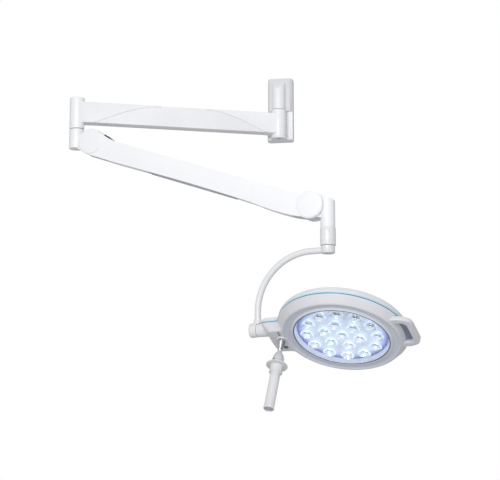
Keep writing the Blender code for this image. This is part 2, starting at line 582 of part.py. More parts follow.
# ---- lamp knuckle ----
body = finish("lamp_knuckle", rod_mesh(DOWN_TUBE_R, SLEEVE_TOP + FIT, 0.050, 48, 0.0), "white", lamp_level,
              (LAMP_OFFSET, 0, 0))
X0 = -LAMP_OFFSET             # the lift pin, seen from the swivel axis
lamp_tongue = (arc(X0, 0, TONGUE_R, 100, 262, 12) + [(X0 + 0.012, -0.0420), (0.0, -0.0480), (0.0, 0.046),
                                                     (X0 + 0.012, 0.046)])
boolean(body, prism_mesh(lamp_tongue, -TONGUE_HALF, TONGUE_HALF, 0.002), "UNION")
slant = [(-0.10, 0.0535), (-0.045, 0.0500), (-0.020, 0.0400), (0.0195, 0.0185), (0.0245, 0.0135),
         (0.0262, 0.0060),
         (0.05, 0.0060), (0.05, 0.10), (-0.10, 0.10)]
boolean(body, prism_mesh(slant, -0.06, 0.06))
cheeks = combined(turned(rod_mesh(DISK_R + 0.0016, TONGUE_HALF + 0.0010, 0.060, 48, 0.0), x=90,
                         move=(X0, 0, 0)),
                  turned(rod_mesh(DISK_R + 0.0016, -0.060, -TONGUE_HALF - 0.0010, 48, 0.0), x=90,
                         move=(X0, 0, 0)))
boolean(body, cheeks)
lamp_slot = [(-0.060, 0.060), (-0.0125, 0.060), (-0.0125, 0.0003), (-0.0038, -0.0100), (0.0125, -0.0100),
             (0.0125, -0.036), (-0.0125, -0.060), (-0.060, -0.060)]
boolean(body, turned(prism_mesh(lamp_slot, -0.0062, 0.0062), move=(X0, 0, 0)))
boolean(body, combined(turned(rod_mesh(PIN_R + FIT, -0.05, 0.05, 32, 0.0), x=90, move=(X0, 0, 0)),
                       turned(rod_mesh(ROD_PIN_R + 2 * FIT, -0.05, 0.05, 20, 0.0), x=90,
                              move=(X0, 0, -ROD_DROP))))
boolean(body, rod_mesh(BORE_R, -0.20, -0.030, SEGMENTS, 0.0))
finish("lamp_pin", rod_mesh(PIN_R, -ARM_HALF + 0.0005, ARM_HALF - 0.0005, 32), "steel", lamp_level,
       (0, 0, 0), (90, 0, 0))
sleeve = finish("lamp_sleeve", lathe_mesh([(BORE_R, SLEEVE_BOTTOM), (SLEEVE_R - 0.001, SLEEVE_BOTTOM),
                                           (SLEEVE_R, SLEEVE_BOTTOM + 0.001),
                                           (SLEEVE_R, SLEEVE_TOP - 0.0015), (SLEEVE_R - 0.0015, SLEEVE_TOP),
                                           (BORE_R,
                                            SLEEVE_TOP)], 48), "warm_white", lamp_level, (LAMP_OFFSET, 0,
                                                                                          0))
screw("lamp_brake_screw", lamp_level, (LAMP_OFFSET, SLEEVE_R + 0.0006, -0.112), (-90, 0, 0), BRAKE_SCREW_R,
      0.0135)
boolean(sleeve, turned(rod_mesh(BRAKE_SCREW_R + FIT, 0.0100, 0.0300, 20, 0.0), x=-90, move=(0, 0, -0.112)))
bush("lamp_bush", lamp_level, (LAMP_OFFSET, 0, 0), SLEEVE_BOTTOM, HUB_R - 0.003, 1)

# ---- yoke ----
hub_top = SLEEVE_BOTTOM - WASHER_THICK
hub = finish("yoke_hub", lathe_mesh([(0, HUB_BOTTOM), (HUB_R - 0.0022, HUB_BOTTOM),
                                     (HUB_R, HUB_BOTTOM + 0.0022),
                                     (HUB_R, hub_top), (SHAFT_R, hub_top), (SHAFT_R, -0.0340),
                                     (SHAFT_R - 0.0008,
                                      -0.0332), (0, -0.0332)], 48), "warm_white", lamp_swivel)
boolean(hub, turned(rod_mesh(BOW_TUBE_R + FIT, -0.05, -0.0120, 32, 0.0), y=90, move=(0, 0, BOW_Z)))
BOW_END = TILT_Z + TILT_KNUCKLE_R + 0.0040
bow = bmesh.new()
bow_path = [(-0.0135, BOW_Z, 0.0)]
for step in range(BOW_STEPS + 1):
    bend = math.pi / 2 * step / BOW_STEPS
    bow_path.append((-BOW_STRAIGHT - BOW_RADIUS * math.sin(bend),
                     BOW_Z - BOW_RADIUS * (1 - math.cos(bend)), bend))
bow_path.append((-BOW_STRAIGHT - BOW_RADIUS, BOW_END, math.pi / 2))
rings = {}
for radius in (BOW_TUBE_R, BOW_TUBE_R - BOW_WALL):
    rings[radius] = [[bow.verts.new((x - radius * math.sin(turn) * math.sin(bend), radius * math.cos(turn),
                                     z + radius * math.sin(turn) * math.cos(bend)))
                      for turn in (2 * math.pi * side / BOW_SIDES for side in range(BOW_SIDES))]
                     for x, z, bend in bow_path]
outer_rings, inner_rings = rings[BOW_TUBE_R], rings[BOW_TUBE_R - BOW_WALL]
for side in range(BOW_SIDES):
    after = (side + 1) % BOW_SIDES
    for tube in (outer_rings, inner_rings):
        for one, two in zip(tube, tube[1:]):
            bow.faces.new((one[side], one[after], two[after], two[side]))
    for end in (0, -1):
        bow.faces.new((outer_rings[end][side], outer_rings[end][after], inner_rings[end][after],
                       inner_rings[end][side]))
finish("yoke_bow", bow, "warm_white", lamp_swivel)

bow_x = -BOW_STRAIGHT - BOW_RADIUS
tilt_knuckle = finish("tilt_knuckle", turned(rod_mesh(TILT_KNUCKLE_R, -TILT_KNUCKLE_LENGTH, -0.0007, 48,
                                                      0.0030), y=90),
                      "warm_white", lamp_swivel, (bow_x, 0, TILT_Z))
neck = lathe_mesh([(0, 0.010), (0.0150, 0.010), (0.0150, 0.0290), (BOW_TUBE_R + 0.0016, 0.0340),
                   (BOW_TUBE_R + 0.0016, 0.0400), (0, 0.0400)], 32)
boolean(tilt_knuckle, neck, "UNION")
stub_room = turned(rod_mesh(TILT_KNUCKLE_R + 0.0012, -0.0003, 0.030, 48, 0.0), y=90)
boolean(tilt_knuckle, stub_room)
boolean(tilt_knuckle, turned(rod_mesh(BOW_TUBE_R + FIT, TILT_KNUCKLE_R + 0.0036, 0.08, 32, 0.0)))
boolean(tilt_knuckle, turned(rod_mesh(SHAFT_R + FIT, -0.05, 0.05, SEGMENTS, 0.0), y=90))
screw("tilt_brake_screw", lamp_swivel, (bow_x - 0.0150, 0, TILT_Z - TILT_KNUCKLE_R - 0.0006), (180, 0, 0),
      0.0038, 0.0140)
boolean(tilt_knuckle, turned(rod_mesh(0.0038 + FIT, -0.0300, -0.0105, 20, 0.0), move=(-0.0150, 0, 0)))
finish("tilt_cap", turned(lathe_mesh([(0, 0.0), (0.0165, 0.0), (0.0165, 0.0012), (0.0150, 0.0026),
                                      (0, 0.0032)], 40), y=-90),
       "warm_white", lamp_swivel, (bow_x - TILT_KNUCKLE_LENGTH - FIT, 0, TILT_Z))

# ---- lamp head ----
boss_end = DISC_X - RIM_R - 0.0377
shaft_end = -TILT_KNUCKLE_LENGTH + 0.001
finish("tilt_boss", turned(lathe_mesh([(0, shaft_end), (SHAFT_R, shaft_end), (SHAFT_R, 0.0007),
                                       (STUB_R - 0.0008, 0.0007),
                                       (STUB_R, 0.0015), (STUB_R, boss_end), (0, boss_end)], 48), y=90),
       "warm_white", head_tilt)


def frustum_mesh(r_low, r_high, z_low, z_high, segments=RING_SEGMENTS):
    return cone_mesh(r_low, r_high, z_low, z_high, segments)


def wing_mesh(z_low, z_high, grow=0.0, radius=0.014):
    """The arm-side block of the head, wider at its upper end."""
    def at(z):
        t = z / SEAM_Z
        end = WING_END_LOW + (WING_END_HIGH - WING_END_LOW) * t + grow
        half = WING_HALF_LOW + (WING_HALF_HIGH - WING_HALF_LOW) * t + grow
        corners = (arc(-end + radius, -half + radius, radius, 270, 180, 5)
                   + arc(-end + radius, half - radius, radius, 180, 90, 5))
        return [(-RIM_R + 0.056, -half)] + corners + [(-RIM_R + 0.056, half)]
    bm = bmesh.new()
    loops = [[bm.verts.new((x, y, z)) for x, y in at(z)] for z in (z_low, z_high)]
    count = len(loops[0])
    for i in range(count):
        j = (i + 1) % count
        bm.faces.new((loops[0][i], loops[0][j], loops[1][j], loops[1][i]))
    bm.faces.new(loops[0])
    bm.faces.new(loops[1][::-1])
    bmesh.ops.recalc_face_normals(bm, faces=bm.faces)
    return bm


def rim_at(z):
    return RIM_R + (SEAM_R - RIM_R) * z / SEAM_Z


stub_cut = (0.0, 0.0, -DISC_Z)


def stub_tool(extra=FIT):
    return turned(rod_mesh(STUB_R + extra, -RIM_R - 0.124, -RIM_R - 0.0367 + extra, 48, 0.0), y=90,
                  move=stub_cut)


shell = finish("head_shell", frustum_mesh(RIM_R, SEAM_R, 0.0, SEAM_Z), "warm_white", disc)
boolean(shell, wing_mesh(0.0004, SEAM_Z - 0.0002), "UNION")
POWER_AT = (-RIM_R - POWER_REACH, POWER_Y)
KEYS = {"dim_up": (-RIM_R - KEY_REACH, KEY_Y + KEY_SPACING / 2),
        "dim_down": (-RIM_R - KEY_REACH, KEY_Y - KEY_SPACING / 2)}
floor_holes = [turned(rod_mesh(POWER_R + FIT, -0.01, 0.02, 32, 0.0), move=(*POWER_AT, 0)),
               turned(rod_mesh(SOCKET_R + FIT, -0.01, 0.02, 24, 0.0), move=(HANDLE_X, HANDLE_Y, 0))]
floor_holes += [turned(rod_mesh(KEY_R + FIT, -0.01, 0.02, 20, 0.0), move=(*at, 0)) for at in KEYS.values()]
boolean(shell, combined(stub_tool(), *floor_holes))
boolean(shell, wing_mesh(WING_FLOOR, 0.034, -SHELL_WALL))
boolean(shell, frustum_mesh(rim_at(-0.002) - SHELL_WALL, rim_at(0.032) - SHELL_WALL, -0.002, 0.032))

trim_low = SEAM_Z + FIT
trim_high = trim_low + TRIM_HEIGHT
trim = finish("trim_ring", frustum_mesh(SEAM_R - 0.0006, SEAM_R - 0.0002, trim_low, trim_high), "blue", disc)
boolean(trim, box_mesh((-WING_END_HIGH + 0.0006, -WING_HALF_HIGH + 0.0006, trim_low),
                       (-RIM_R + 0.056, WING_HALF_HIGH - 0.0006, trim_high)), "UNION")
boolean(trim, frustum_mesh(SEAM_R - 0.0055, SEAM_R - 0.0055, 0.02, 0.05))
boolean(trim, box_mesh((-WING_END_HIGH + 0.0055, -WING_HALF_HIGH + 0.0055, 0.02),
                       (-RIM_R + 0.106, WING_HALF_HIGH - 0.0055, 0.05)))
boolean(trim, stub_tool())

cover_low = trim_high + FIT
dome = [(0, cover_low), (SEAM_R - 0.0004, cover_low), (SEAM_R - 0.0008, 0.0450), (SEAM_R - 0.0035, 0.0540),
        (SEAM_R - 0.0105, 0.0620), (SEAM_R - 0.0210, COVER_RISE - 0.0110), (SEAM_R * 0.70,
                                                                            COVER_RISE - 0.0055),
        (SEAM_R * 0.35, COVER_RISE - 0.0012), (0, COVER_RISE)]
inner_dome = [(0, 0.030), (SEAM_R - 0.0040, 0.030), (SEAM_R - 0.0040, 0.0440), (SEAM_R - 0.0075, 0.0525),
              (SEAM_R - 0.0130, 0.0590), (SEAM_R - 0.0220, COVER_RISE - 0.0148), (SEAM_R * 0.70,
                                                                                  COVER_RISE - 0.0090),
              (0, COVER_RISE - 0.0042)]
lid = finish("head_cover", lathe_mesh(dome, RING_SEGMENTS), "warm_white", disc)
boolean(lid, prism_mesh([(-WING_END_HIGH + 0.0008, -WING_HALF_HIGH + 0.010),
                         (-WING_END_HIGH + 0.010, -WING_HALF_HIGH + 0.0008),
                         (-RIM_R + 0.056, -WING_HALF_HIGH + 0.0008), (-RIM_R + 0.056,
                                                                      WING_HALF_HIGH - 0.0008),
                         (-WING_END_HIGH + 0.010, WING_HALF_HIGH - 0.0008), (-WING_END_HIGH + 0.0008,
                                                                             WING_HALF_HIGH - 0.010)],
                        cover_low, 0.0500, 0.0, "XY"), "UNION")
boolean(lid, turned(rod_mesh(STUB_R + 0.0035, -WING_END_HIGH + 0.0008, -RIM_R + 0.056, 48, 0.0), y=90,
                    move=stub_cut), "UNION")
boolean(lid, lathe_mesh(inner_dome, RING_SEGMENTS))
boolean(lid, box_mesh((-WING_END_HIGH + 0.0045, -WING_HALF_HIGH + 0.0045, 0.02),
                      (-RIM_R + 0.056, WING_HALF_HIGH - 0.0045, 0.0468)))
boolean(lid, stub_tool())
boolean(lid, turned(rod_mesh(STUB_R + FIT, -RIM_R - 0.0637, -RIM_R + 0.056, 48, 0.0), y=90, move=stub_cut))
boolean(lid, box_mesh((-SEAM_R - 0.1, -SEAM_R - 0.1, 0.0), (SEAM_R + 0.1, SEAM_R + 0.1, cover_low + 0.0001)))

finish("bezel_ring", lathe_mesh([(RIM_R - SHELL_WALL - FIT, 0.0006), (RIM_R - SHELL_WALL - FIT, 0.0105),
                                 (BEZEL_INNER_R, 0.0105), (BEZEL_INNER_R, 0.0072), (RIM_R - 0.0183, 0.0062),
                                 (RIM_R - 0.0098, 0.0036), (RIM_R - 0.0053,
                                                            0.0010)], RING_SEGMENTS), "grey", disc)
finish("lens_frame", lathe_mesh([(LENS_R + FIT, 0.0006), (LENS_R + 0.0020, -0.0004),
                                 (LENS_R + 0.0060, 0.0006),
                                 (BEZEL_INNER_R - FIT, 0.0060), (BEZEL_INNER_R - FIT, 0.0120),
                                 (ARRAY_R, 0.0120), (ARRAY_R,
                                                     0.0100), (LENS_R + FIT,
                                                               0.0100)], RING_SEGMENTS), "warm_white", disc)
finish("lens_cover", rod_mesh(LENS_R, 0.0006, 0.0050, RING_SEGMENTS, 0.0008), "clear", disc)


def led_places():
    places = [(0.0, 0.0)]
    places += arc(0, 0, LED_RING_INNER, -155, 145, 5)
    places += arc(0, 0, LED_RING_OUTER, -171, 159, 11)
    return places


array = finish("lens_array", rod_mesh(ARRAY_R, 0.0225, 0.0245, RING_SEGMENTS, 0.0), "clear", disc)
cup = [(0, 0.0232), (LED_R * 0.53, 0.0232), (LED_R - 0.0015, 0.0120), (0, 0.0090)]
boolean(array, combined(*[turned(lathe_mesh(cup, 20), z=7.0, move=(x, y, 0)) for x, y in led_places()]),
        "UNION")
finish("led_board", rod_mesh(ARRAY_R - 0.0020, 0.0250, 0.0268, 64, 0.0), "board", disc)
sink_r = ARRAY_R - 0.0060
fins = [(0, 0.0272), (sink_r, 0.0272)]
for step in range(4):
    outer = sink_r * (1.0 - step / 5)
    fins += [(outer, 0.0560), (outer - 0.0040, 0.0560), (outer - 0.0040, 0.0320),
             (outer - sink_r / 5, 0.0320)]
fins = fins[:-1] + [(0.0, 0.0320)]
finish("heat_sink", lathe_mesh(fins, 48), "alloy", disc)

loop = ([(RIM_R - 0.056, -GRIP_HALF), (GRIP_OUT - 0.0425, -GRIP_HALF)] + arc(GRIP_OUT - 0.036, -GRIP_HALF
                                                                             + 0.040, 0.036, -70, 0, 6)
        + arc(GRIP_OUT - 0.036, GRIP_HALF - 0.040, 0.036, 0, 70, 6) + [(GRIP_OUT - 0.0425, GRIP_HALF),
                                                                       (RIM_R - 0.056, GRIP_HALF)])
grip = finish("side_grip", prism_mesh(loop, GRIP_LOW, GRIP_HIGH, 0.004, "XY"), "warm_white", disc)
inner_x = GRIP_OUT - GRIP_WIDTH
finger = ([(RIM_R - 0.106, -GRIP_HALF + 0.024)] + arc(inner_x - 0.022, -GRIP_HALF + 0.046, 0.022, -90, 0, 5)
          + arc(inner_x - 0.022, GRIP_HALF - 0.046, 0.022, 0, 90, 5) + [(RIM_R - 0.106, GRIP_HALF - 0.024)])
boolean(grip, prism_mesh(finger, -0.02, GRIP_HIGH - GRIP_WEB, 0.0, "XY"))
boolean(grip, frustum_mesh(rim_at(-0.004) + FIT, rim_at(0.034) + FIT, -0.004, 0.034))

button = lathe_mesh([(0, -0.0012), (POWER_R - 0.0012, -0.0012), (POWER_R, 0.0000), (POWER_R, 0.0060),
                     (POWER_R + 0.0020, 0.0060), (POWER_R + 0.0020, 0.0085), (0, 0.0085)], 32)
finish("power_button", button, "dark", disc, (*POWER_AT, 0))
for name, at in KEYS.items():
    key = lathe_mesh([(0, -0.0010), (KEY_R - 0.0008, -0.0010), (KEY_R, 0.0), (KEY_R, 0.0060),
                      (KEY_R + 0.0014, 0.0060),
                      (KEY_R + 0.0014, 0.0080), (0, 0.0080)], 20)
    finish(name, key, "dark", disc, (*at, 0))

# ---- handle ----
adapter = lathe_mesh([(0, 0.0120), (SOCKET_R, 0.0120), (SOCKET_R, -FIT), (ADAPTER_R + 0.0010, -FIT),
                      (ADAPTER_R + 0.0010, -0.0030),
                      (ADAPTER_R, -0.0040), (ADAPTER_R - 0.0008, -0.0140), (0.0110, -0.0300), (0.0080,
                                                                                               ADAPTER_TIP),
                      (0.0035, ADAPTER_TIP), (0.0035, -0.0560), (0, -0.0560)], 32)
finish("handle_adapter", adapter, "chrome", disc, (HANDLE_X, HANDLE_Y, 0))
finish("handle_dome", lathe_mesh([(0.0038, ADAPTER_TIP - FIT), (0.0084, ADAPTER_TIP - FIT), (0.0084, -0.0540),
                                  (0.0145, -0.0620), (DOME_R - 0.0015, -0.0740),
                                  (DOME_R, -0.0850), (DOME_R, -0.0985), (SOCKET_R, -0.0985), (SOCKET_R,
                                                                                              -0.0600),
                                  (0.0038, -0.0600)], 40), "warm_white", handle_twist)
finish("handle_flange", lathe_mesh([(SOCKET_R, -0.0988), (0.0240, -0.0988), (FLANGE_R - 0.0033, -0.1030),
                                    (FLANGE_R, -0.1075),
                                    (FLANGE_R - 0.0008, -0.1100), (FLANGE_R - 0.0058, -0.1090), (0.0235,
                                                                                                 -0.1105),
                                    (SOCKET_R, -0.1105)], 48), "warm_white", handle_twist)
finish("handle_collar", lathe_mesh([(SOCKET_R, -0.1108), (0.0232, -0.1108), (0.0228, -0.1300),
                                    (0.0175, -0.1440),
                                    (SOCKET_R, -0.1440)], 40), "grey", handle_twist)
finish("handle_grip", lathe_mesh([(SOCKET_R, -0.1443), (GRIP_R - 0.0028, -0.1443),
                                  (GRIP_R - 0.0018, -0.1600), (GRIP_R, -0.2000),
                                  (GRIP_R - 0.0004, -0.2600), (GRIP_R - 0.0010, HANDLE_END + 0.0015),
                                  (GRIP_R - 0.0025,
                                   HANDLE_END), (GRIP_R - GRIP_WALL, HANDLE_END), (GRIP_R - GRIP_WALL,
                                                                                   -0.2500),
                                  (SOCKET_R, -0.2500)], 40), "warm_white", handle_twist)
finish("handle_core", rod_mesh(SOCKET_R - FIT, -0.2480, -0.0605, 24), "steel", handle_twist)
catch = lathe_mesh([(0, DOME_R - 0.0065), (CATCH_R, DOME_R - 0.0065), (CATCH_R, DOME_R),
                    (CATCH_R - 0.0006, DOME_R + 0.0008),
                    (0, DOME_R + 0.0008)], 20)
finish("release_button", catch, "dark", handle_twist, (0, 0, CATCH_Z), (0, 90, CATCH_TURN))
catch_bore = turned(rod_mesh(CATCH_R + FIT, DOME_R - 0.0085, DOME_R + 0.0100, 20, 0.0), y=90, z=CATCH_TURN,
                    move=(0, 0, CATCH_Z))
boolean(bpy.data.objects["handle_dome"], catch_bore)
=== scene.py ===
import json
import math

import bpy
from mathutils import Matrix, Vector


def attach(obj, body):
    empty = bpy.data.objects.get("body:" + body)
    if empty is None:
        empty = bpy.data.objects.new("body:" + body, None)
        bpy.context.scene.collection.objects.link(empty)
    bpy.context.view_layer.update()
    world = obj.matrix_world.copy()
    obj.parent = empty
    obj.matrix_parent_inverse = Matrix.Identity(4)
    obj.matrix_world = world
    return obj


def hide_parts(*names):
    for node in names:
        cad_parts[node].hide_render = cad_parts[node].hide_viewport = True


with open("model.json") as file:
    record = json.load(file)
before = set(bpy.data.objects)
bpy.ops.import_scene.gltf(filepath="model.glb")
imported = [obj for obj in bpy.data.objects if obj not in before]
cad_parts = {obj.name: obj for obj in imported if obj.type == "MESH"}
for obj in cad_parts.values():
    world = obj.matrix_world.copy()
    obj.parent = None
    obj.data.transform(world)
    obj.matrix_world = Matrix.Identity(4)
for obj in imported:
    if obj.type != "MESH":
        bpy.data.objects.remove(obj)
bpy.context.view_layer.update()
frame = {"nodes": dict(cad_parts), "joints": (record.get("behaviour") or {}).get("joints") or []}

joints = {joint["name"]: joint for joint in frame["joints"]}


# frames of the moving bodies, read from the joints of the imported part
def makeFrame(origin, xAxis, zAxis):
    z = Vector(zAxis).normalized()
    x = Vector(xAxis)
    x = (x - z * x.dot(z)).normalized()
    turn = Matrix((x, z.cross(x), z)).transposed().to_4x4()
    return Matrix.Translation(Vector(origin)) @ turn


def pointOf(name):
    return Vector(joints[name]["pos_m"])


upward = Vector((0, 0, 1))
liftPoint = pointOf("arm_lift")
lampPoint = pointOf("lamp_level")
armDirection = (lampPoint - liftPoint).normalized()
levelDirection = Vector((armDirection.x, armDirection.y, 0)).normalized()
tiltAxis = Vector(joints["head_tilt"]["axis"])
headNormal = Vector(joints["handle_twist"]["axis"])
wallPoint = pointOf("wall_swivel") * Vector((1, 1, 0))
elbowPoint = pointOf("elbow_swivel") * Vector((1, 1, 0))
swivelPoint = Vector((*pointOf("lamp_swivel").xy, lampPoint.z))

atWorld = Matrix.Identity(4)
atWall = makeFrame(wallPoint, elbowPoint - wallPoint, upward)
atElbow = makeFrame(elbowPoint, levelDirection, upward)
atArm = makeFrame(liftPoint, armDirection, armDirection.cross(Vector(joints["arm_lift"]["axis"])))
atLamp = makeFrame(swivelPoint, levelDirection, upward)
atYoke = makeFrame(swivelPoint, tiltAxis, upward)
atTilt = makeFrame(pointOf("head_tilt"), tiltAxis, headNormal)
atHandle = makeFrame(pointOf("handle_twist"), tiltAxis, headNormal)

arm = {"reach": (elbowPoint - wallPoint).length, "spring": (lampPoint - liftPoint).length,
       "liftOffset": (liftPoint - elbowPoint).xy.length, "liftHeight": liftPoint.z,
       "lampOffset": (swivelPoint - lampPoint).xy.length}
head = {"discX": 0.3204, "discZ": -0.0518, "rim": 0.2063, "flare": 0.0220, "seam": 0.0296,
        "wall": 0.0030, "wingEnd": 0.2545, "wingFlare": 0.0245, "wingHalf": 0.0640,
        "wingHalfFlare": 0.0140, "wingCorner": 0.0150, "fillet": 0.030, "steps": 256,
        "crowding": 0.6, "bossFar": -0.330, "bossNear": -0.2427}
atDisc = atTilt @ Matrix.Translation((head["discX"], 0, head["discZ"]))

# gaps and holes that several pieces share
fits = {"gap": 0.0003, "shaftHole": 0.0093, "screwHole": 0.0045, "through": 0.05}


# materials
paint = {"cloudScale": 9.0, "cloudDetail": 3.0, "smearScale": 34.0, "smearDetail": 4.0, "smoother": 0.05,
         "rougher": 0.07, "peelDetail": 2.0, "peelDepth": 0.0004}
brush = {"scale": 60.0, "detail": 5.0, "dark": 0.86, "smoother": 0.75, "rougher": 1.35, "depth": 0.0002}


def newMaterial(name, colour, rough, metal=0.0, **sockets):
    mat = bpy.data.materials.new(name)
    mat.use_nodes = True
    shader = mat.node_tree.nodes["Principled BSDF"]
    shader.inputs["Base Color"].default_value = (*colour, 1.0)
    shader.inputs["Roughness"].default_value = rough
    shader.inputs["Metallic"].default_value = metal
    for key, value in sockets.items():
        shader.inputs[key.replace("_", " ")].default_value = value
    return mat, mat.node_tree.nodes, mat.node_tree.links, shader


def objectNoise(nodes, links, scale, detail=2.0, stretch=(1, 1, 1)):
    where = nodes.new("ShaderNodeTexCoord")
    turn = nodes.new("ShaderNodeMapping")
    turn.inputs["Scale"].default_value = stretch
    noise = nodes.new("ShaderNodeTexNoise")
    noise.inputs["Scale"].default_value = scale
    noise.inputs["Detail"].default_value = detail
    links.new(where.outputs["Object"], turn.inputs["Vector"])
    links.new(turn.outputs["Vector"], noise.inputs["Vector"])
    return noise


def twoTone(nodes, links, source, first, second, low=0.35, high=0.65):
    ramp = nodes.new("ShaderNodeValToRGB")
    ramp.color_ramp.elements[0].position = low
    ramp.color_ramp.elements[1].position = high
    ramp.color_ramp.elements[0].color = (*first, 1.0)
    ramp.color_ramp.elements[1].color = (*second, 1.0)
    links.new(source, ramp.inputs["Fac"])
    return ramp


def addBump(nodes, links, shader, height, strength, distance):
    bump = nodes.new("ShaderNodeBump")
    bump.inputs["Strength"].default_value = strength
    bump.inputs["Distance"].default_value = distance
    links.new(height, bump.inputs["Height"])
    links.new(bump.outputs["Normal"], shader.inputs["Normal"])
    return bump


def varyRoughness(nodes, links, shader, source, low, high):
    spread = nodes.new("ShaderNodeMapRange")
    spread.inputs["To Min"].default_value = low
    spread.inputs["To Max"].default_value = high
    links.new(source, spread.inputs["Value"])
    links.new(spread.outputs["Result"], shader.inputs["Roughness"])


def addGlow(mat, colour, strength):
    shader = mat.node_tree.nodes["Principled BSDF"]
    shader.inputs["Emission Color"].default_value = (*colour, 1.0)
    shader.inputs["Emission Strength"].default_value = strength


# painted or moulded surface: faint cloudiness, fine peel, roughness that varies with handling
def coatedSurface(name, colour, rough, peelScale=900.0, peel=0.10, cloud=0.025, **sockets):
    mat, nodes, links, shader = newMaterial(name, colour, rough, **sockets)
    clouds = objectNoise(nodes, links, paint["cloudScale"], paint["cloudDetail"])
    darker = tuple(max(0.0, c - cloud) for c in colour)
    lighter = tuple(min(1.0, c + cloud * 0.5) for c in colour)
    tone = twoTone(nodes, links, clouds.outputs["Fac"], darker, lighter, 0.3, 0.7)
    links.new(tone.outputs["Color"], shader.inputs["Base Color"])
    smear = objectNoise(nodes, links, paint["smearScale"], paint["smearDetail"])
    varyRoughness(nodes, links, shader, smear.outputs["Fac"], rough - paint["smoother"],
                  rough + paint["rougher"])
    grain = objectNoise(nodes, links, peelScale, paint["peelDetail"])
    addBump(nodes, links, shader, grain.outputs["Fac"], peel, paint["peelDepth"])
    return mat


# turned or drawn metal: stretched scratches
def brushedSurface(name, colour, rough, stretch=(1, 1, 40), scratch=0.12):
    mat, nodes, links, shader = newMaterial(name, colour, rough, 1.0)
    lines = objectNoise(nodes, links, brush["scale"], brush["detail"], stretch)
    darker = tuple(c * brush["dark"] for c in colour)
    tone = twoTone(nodes, links, lines.outputs["Fac"], darker, colour, 0.25, 0.75)
    links.new(tone.outputs["Color"], shader.inputs["Base Color"])
    varyRoughness(nodes, links, shader, lines.outputs["Fac"], rough * brush["smoother"],
                  rough * brush["rougher"])
    addBump(nodes, links, shader, lines.outputs["Fac"], scratch, brush["depth"])
    return mat


whitePaint = coatedSurface("whitePaint", (0.91, 0.92, 0.94), 0.30, 750.0, 0.10, 0.02, Coat_Weight=0.25,
                           Coat_Roughness=0.12)
whiteCover = coatedSurface("whiteCover", (0.89, 0.895, 0.915), 0.38, 1400.0, 0.14, 0.02)
headPaint = coatedSurface("headPaint", (0.70, 0.71, 0.75), 0.34, 800.0, 0.10, 0.02, Coat_Weight=0.2,
                          Coat_Roughness=0.15)
headCoverPaint = coatedSurface("headCoverPaint", (0.76, 0.78, 0.81), 0.36, 900.0, 0.12, 0.02)
yokePaint = coatedSurface("yokePaint", (0.80, 0.805, 0.82), 0.32, 800.0, 0.10, 0.02, Coat_Weight=0.2)
gripPlastic = coatedSurface("gripPlastic", (0.74, 0.74, 0.755), 0.48, 1700.0, 0.28, 0.03)
domePlastic = coatedSurface("domePlastic", (0.62, 0.625, 0.65), 0.40, 1500.0, 0.20, 0.03)
slatePlastic = coatedSurface("slatePlastic", (0.67, 0.70, 0.78), 0.36, 1300.0, 0.16, 0.03)
framePlastic = coatedSurface("framePlastic", (0.74, 0.77, 0.83), 0.34, 1300.0, 0.14, 0.02)
# dark slate, used as painted shade in the side grip's finger recess
shadeSheetPaint = coatedSurface("shadeSheetPaint", (0.20, 0.235, 0.31), 0.45, 1300.0, 0.16, 0.02)
seamPlastic = coatedSurface("seamPlastic", (0.50, 0.52, 0.56), 0.50, 1500.0, 0.18, 0.03)
blueBand = coatedSurface("blueBand", (0.50, 0.78, 0.95), 0.22, 600.0, 0.05, 0.03, Coat_Weight=0.5)
# dark teal, used as painted shade for the groove at the head's seam
grooveShadeTeal = coatedSurface("grooveShadeTeal", (0.035, 0.16, 0.22), 0.30, 900.0, 0.08, 0.015, Coat_Weight=0.3)
# near black, used as painted shade inside the open slot of the spring arm
slotShadeDark = coatedSurface("slotShadeDark", (0.035, 0.038, 0.045), 0.62, 1800.0, 0.25, 0.012)
gasketRubber = coatedSurface("gasketRubber", (0.10, 0.115, 0.14), 0.55, 1800.0, 0.2, 0.02)
skirtPlasticPaintedGlow = coatedSurface("skirtPlasticPaintedGlow", (0.86, 0.89, 0.95), 0.25, 900.0, 0.08, 0.02)
# painted light: the skirt glows though it is no lamp, to lift it out of its shade
addGlow(skirtPlasticPaintedGlow, (0.75, 0.82, 1.0), 0.30)
keyPlastic = coatedSurface("keyPlastic", (0.14, 0.15, 0.18), 0.45, 1500.0, 0.18, 0.02)
bushPlastic = coatedSurface("bushPlastic", (0.05, 0.05, 0.055), 0.55, 1200.0, 0.15, 0.015)
boardLacquer = coatedSurface("boardLacquer", (0.04, 0.16, 0.09), 0.40, 300.0, 0.20, 0.02)
steel = brushedSurface("steel", (0.56, 0.57, 0.59), 0.30)
castAlloy = brushedSurface("castAlloy", (0.68, 0.69, 0.71), 0.38, (1, 1, 6), 0.18)
chrome = brushedSurface("chrome", (0.72, 0.73, 0.77), 0.24, (1, 1, 22), 0.06)
reflectorPaintedGlow = brushedSurface("reflectorPaintedGlow", (0.88, 0.92, 0.98), 0.12, (3, 3, 3), 0.03)
# painted light: the reflector cups glow though they are no lamp
addGlow(reflectorPaintedGlow, (0.72, 0.84, 1.0), 0.42)
print("materials made")


# modelling helpers, each on one object at a time
def pickNone():
    if bpy.context.mode != "OBJECT":
        bpy.ops.object.mode_set(mode="OBJECT")
    bpy.ops.object.select_all(action="DESELECT")


def pickOnly(obj):
    pickNone()
    obj.select_set(True)
    bpy.context.view_layer.objects.active = obj


def endEdit():
    bpy.ops.mesh.select_all(action="SELECT")
    bpy.ops.mesh.remove_doubles(threshold=0.000004)
    bpy.ops.mesh.normals_make_consistent(inside=False)
    bpy.ops.object.mode_set(mode="OBJECT")


